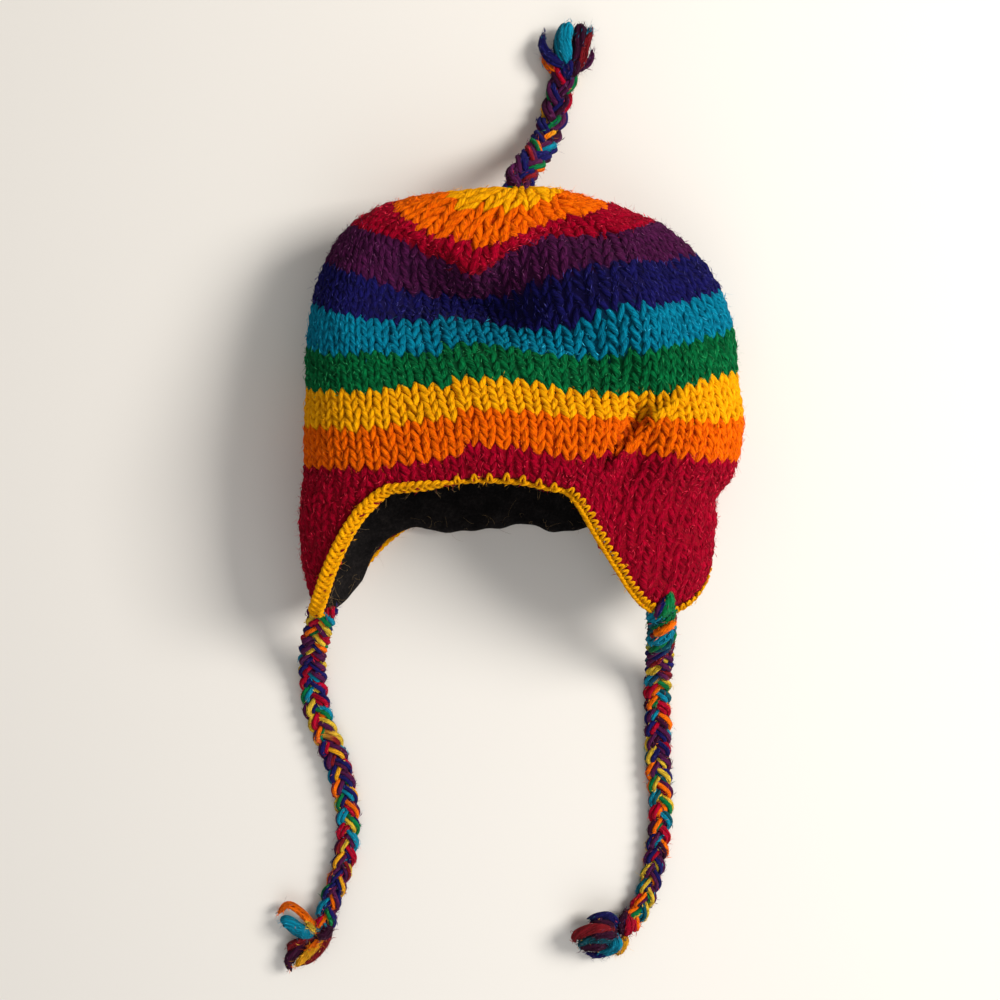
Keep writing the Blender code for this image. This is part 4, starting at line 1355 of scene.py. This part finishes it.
def bundle(path, reference, places, profile, wind, radius):
    """Yarns that run together: each keeps its distance and angle from the path, the distance times
    the profile and the angle turning with the wind. Returns a tube for each, none below the floor."""
    ahead = unit(np.gradient(path, axis=0))
    right = unit(np.cross(ahead, np.broadcast_to(reference, path.shape)))
    raised = np.cross(right, ahead)
    tubes = []
    for distance, angle in places:
        turn = angle + wind
        yarn = path + (profile * distance)[:, None] * (np.cos(turn)[:, None] * right
                                                       + np.sin(turn)[:, None] * raised)
        lift_off_floor(yarn, radius)
        tubes.append(tube(yarn, reference, radius, YARN_SIDES))
    return tubes


def wound_yarns(name, tubes, colours, materials, dice, rate):
    """A piece of many yarns in their own colours, with its fuzz."""
    piece = join_tubes(name, tubes, materials["mixed"], colours)
    up = np.array([0.0, 0.0, 1.0])
    facing = [np.broadcast_to(up, (len(places) // YARN_SIDES, 3)) for places, _, _ in tubes]
    fuzz("fuzz_" + name, tubes, colours, facing, rate, materials["fibre"], dice)
    return piece


def braid(name, node, route, materials, palettes, pitches, slims, twisted, dice):
    """A braid of three strands, each of five yarns. A strand swings to the sides with the sine of the
    turn and up and down with the sine of twice the turn; its yarns wind slowly round its middle. Along
    the first, twisted stretch it swings up and down with the cosine of the turn instead. The pitch
    grows with the square of the way along, and the braid starts a little inside the hat. Each yarn
    changes from one palette's colour to the next one's where the palette starts."""
    knots = np.array(route)
    root = knots[0] + unit(knots[0] - knots[1]) * BRAID_ROOT
    path = smooth_route(np.vstack([root, knots]), BRAID_POINTS * len(route))
    ahead = unit(np.gradient(path, axis=0))
    side = unit(np.cross(ahead, (0, 0, 1)))
    over = np.cross(side, ahead)
    length = np.concatenate([[0], np.cumsum(np.linalg.norm(np.diff(path, axis=0), axis=1))])
    share = length / length[-1]
    first, last = pitches
    pitch = first + (last - first) * share**2
    turn = 2 * np.pi * np.cumsum(np.gradient(length) / pitch)
    slim = BRAID_FULLNESS - slims * np.clip(share / SLIM_FROM, 0, 1) ** 2
    twist = np.clip(2 - length / twisted, 0, 1)
    tubes, colours = [], []
    aside, upwards = STRAND_SWING
    starts = np.array([start for start, _ in palettes[1:]])
    knots = np.sort(np.concatenate([[0, length[-1]], starts, starts + COLOUR_CHANGE]))
    for strand in range(3):
        phase = turn + 2 * np.pi * strand / 3
        height = (1 - twist) * upwards * np.sin(2 * phase) + twist * TWIST_HEIGHT * np.cos(phase)
        swing = aside * (slim * np.sin(phase))[:, None] * side + height[:, None] * over
        waves = [depth * np.sin(length / wave + shift * strand) for depth, wave, shift in LOOSENESS]
        loose = slim * sum(waves, 1.0)
        places = [(1.0, 2 * np.pi * number / STRAND_YARNS) for number in range(STRAND_YARNS)]
        tubes += bundle(path + swing - over * BRAID_LOWERED, over, places, STRAND_RADIUS * loose,
                        2 * np.pi * length / STRAND_WIND + strand, YARN_IN_STRAND * loose)
        for number in range(STRAND_YARNS):
            dyes = [YARNS[palette[strand][number]][1] for _, palette in palettes for _ in range(2)]
            colours.append(np.stack([np.interp(length, knots, dye) for dye in np.transpose(dyes)], -1))
    piece = wound_yarns(name, tubes, colours, materials, dice, BRAID_FUZZ)
    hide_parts(node)
    return piece, path, length[-1]


def lock(route, thickness, taper, yarn, dice):
    """A woolly lock of loose fibres: thin yarns spread evenly over its round section, which swells
    from its root, tapers towards its tip, and ends raggedly. Returns its tubes and their colours."""
    tubes, colours = [], []
    golden = np.pi * (3 - 5**0.5)
    height, often, strays = LOCK_WAVE
    turn, turned = LOCK_TURN
    for number in range(LOCK_YARNS):
        reach = 1 - LOCK_END * dice.random()
        path = smooth_route(route, LOCK_ROUTE_POINTS)
        path = path[np.linspace(0, reach * (LOCK_ROUTE_POINTS - 1), LOCK_POINTS).astype(int)]
        share = np.linspace(0, reach, LOCK_POINTS)
        swell = np.clip(share / LOCK_SWELL, 0, 1)
        swell = LOCK_ROOT + (1 - LOCK_ROOT) * swell * swell * (3 - 2 * swell)
        profile = thickness / 2 * swell * (1 - taper * share**3)
        wave = height * np.sin(share * often + dice.normal() * strays)[:, None] * unit(dice.normal(size=3))
        places = [(LOCK_FILLED * ((number + 0.5) / LOCK_YARNS) ** 0.5, golden * number)]
        past = np.clip(share / reach - (1 - LOCK_END), 0, 1)
        blunt_end = np.sqrt(np.clip(1 - past**2 / LOCK_END**2, LOCK_LEAST_END, 1))
        tubes += bundle(path + wave * share[:, None], LOCK_REFERENCE, places, profile,
                        turn * share + dice.normal() * turned, LOCK_YARN * profile * blunt_end)
        colours.append(np.array(YARNS[yarn][1]) * dice.uniform(*LOCK_TONES))
    return tubes, colours


def tassel(name, node, end, locks, materials, dice):
    """A tassel: all its locks, placed from the braid's end."""
    tubes, colours = [], []
    for yarn, thickness, taper, route in locks:
        points = np.array(route) + (end[0], end[1], 0)
        more, paint = lock(points, thickness, taper, yarn, dice)
        tubes += more
        colours += paint
    piece = wound_yarns(name, tubes, colours, materials, dice, BRAID_FUZZ)
    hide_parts(node)
    return piece


def ties(materials, dice):
    """The two ties and the topknot, each a braid that ends in a tassel."""
    for side, route, locks, palettes, pitches, slims, twisted in BRAIDS:
        end = tassel(side + "_loose_ends", side + "_tassel", route[-1], locks, materials, dice)
        piece, path, length = braid(side + "_plaited_yarn", side + "_braid", route, materials, palettes,
                                    pitches, slims, twisted, dice)


def anchor(materials, dice):
    """The loop of green and navy yarn that fastens the right tie: yarns side by side on the flap,
    which swell in the middle, draw together and dip into the knit at the loop's top. An orange yarn
    crosses the tie below it."""
    place = FLAPS["right"][0] + ANCHOR_PLACE
    tip = float(rim_height(np.array([place]))[0])
    share = np.linspace(0, 1, ANCHOR_POINTS)
    bulge = np.sin(np.pi * share)
    lowest, highest = ANCHOR_REACH
    lowering, power = ANCHOR_ROUNDING
    (narrow, wider, round_off), (slim, fuller, sharp) = ANCHOR_WIDTH, ANCHOR_SWELL
    tubes, colours = [], []
    for yarn, shift, radius in ANCHOR_YARNS:
        reach = highest - lowering * abs(shift) ** power
        up = tip + (lowest + (reach - lowest) * share) / STRIPE
        around = place + shift * (narrow + wider * bulge**round_off) - ANCHOR_SLANT * (1 - share)
        swell = radius * (slim + fuller * bulge**sharp)
        depth = -swell - ANCHOR_CLEARANCE + ANCHOR_DIP * share**6
        points, normal = under_face(around, np.maximum(up, tip - ANCHOR_TIP), depth)
        below = np.clip((tip - ANCHOR_TIP - up) * STRIPE, 0, None)
        points -= below[:, None] * np.array(ANCHOR_FALL)
        tubes.append(tube(points, normal, swell, YARN_SIDES))
        colours.append(np.array(YARNS[yarn][1]))
    crossing = smooth_route(CROSSING, CROSSING_POINTS)
    tubes.append(tube(crossing, (0, 0, 1.0), CROSSING_RADIUS, YARN_SIDES))
    colours.append(np.array(YARNS["orange"][1]))
    piece = wound_yarns("tie_anchor_yarns", tubes, colours, materials, dice, ANCHOR_FUZZ)
    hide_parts("right_tie_anchor")


# Table, light and camera

# What the camera looks at and from how far, in mm, and its tilt; its lens and sensor in mm
FOCUS = (-13.0, -60.0, 0.0)
CAMERA_DISTANCE = 800.0
CAMERA_TILT = np.radians(5.0)
LENS = 50.18
SENSOR = 36.0

# The table's half width in metres; the colours of the table and of the room's light, and its strength
TABLE_HALF = 6.0
TABLE_COLOUR = (0.70, 0.68, 0.65, 1)
ROOM_COLOUR = (1.0, 0.97, 0.93, 1)
ROOM_STRENGTH = 0.42

# Lights: name, place, target, size, power and colour, in metres and watts
LIGHTS = (
    ("window", (1.38, 0.42, 1.20), (0, -0.02, 0.03), 0.75, 48.0, (1.0, 0.96, 0.9)),
    ("room", (0.25, -0.95, 0.95), (0, -0.05, 0.0), 1.2, 5.0, (0.95, 0.97, 1.0)),
)


def floor():
    """A plain pale table top."""
    half = TABLE_HALF
    mesh = bpy.data.meshes.new("table_top")
    mesh.from_pydata([(-half, -half, 0), (half, -half, 0), (half, half, 0), (-half, half, 0)], [],
                     [(0, 1, 2, 3)])
    material = bpy.data.materials.new("pale_table")
    _, _, shader = nodes_of(material)
    shader.inputs["Base Color"].default_value = TABLE_COLOUR
    shader.inputs["Roughness"].default_value = 0.9
    shader.inputs["Specular IOR Level"].default_value = 0.1
    mesh.materials.append(material)
    table = bpy.data.objects.new("table_top", mesh)
    bpy.context.scene.collection.objects.link(table)


def area_light(name, place, target, size, power, colour):
    """A square soft light at a place, aimed at a target."""
    light = bpy.data.lights.new(name, "AREA")
    light.size = size
    light.energy = power
    light.color = colour
    lamp = bpy.data.objects.new(name, light)
    bpy.context.scene.collection.objects.link(lamp)
    aim(lamp, place, target)


def aim(obj, place, target):
    """Puts an object at a place, looking at a target, in metres."""
    obj.location = place
    obj.rotation_euler = (Vector(target) - Vector(place)).to_track_quat("-Z", "Y").to_euler()


def light_and_camera():
    """Soft light from the right and above, a weak fill, and the camera almost straight above."""
    scene = bpy.context.scene
    scene.view_settings.view_transform = "Standard"
    world = bpy.data.worlds.new("soft_room")
    scene.world = world
    world.use_nodes = True
    background = world.node_tree.nodes["Background"]
    background.inputs["Color"].default_value = ROOM_COLOUR
    background.inputs["Strength"].default_value = ROOM_STRENGTH
    for light in LIGHTS:
        area_light(*light)
    camera = bpy.data.cameras.new("camera")
    camera.lens = LENS
    camera.sensor_width = SENSOR
    camera.clip_start = 0.01
    view = bpy.data.objects.new("camera", camera)
    scene.collection.objects.link(view)
    place = np.array(FOCUS) + CAMERA_DISTANCE * np.array([0, np.sin(CAMERA_TILT), np.cos(CAMERA_TILT)])
    view.location = place * MM
    view.rotation_euler = (-CAMERA_TILT, 0, 0)
    scene.camera = view


def main():
    """Makes the stage, the materials and every piece, always with the same random numbers."""
    dice = np.random.default_rng(7)
    light_and_camera()
    floor()
    materials = {yarn: wool("wool_" + yarn, *YARNS[yarn], felted=FELTED[yarn]) for yarn in sorted(FELTED)}
    materials["mixed"] = wool("wool_mixed", twist=24.0, felted=0.6)
    materials["ground"] = ground_wool("wool_ground")
    materials["crochet"] = wool("wool_crochet", *YARNS["yellow"], twist=9.0, felted=0.3, thickness=1.1)
    materials["fibre"] = fibre_wool("wool_fibres")
    materials["fleece"] = fleece("black_fleece_nap")
    ties(materials, dice)
    anchor(materials, dice)
    knit(materials, dice)
    lining(materials, dice)
    crochet(materials, dice)


main()
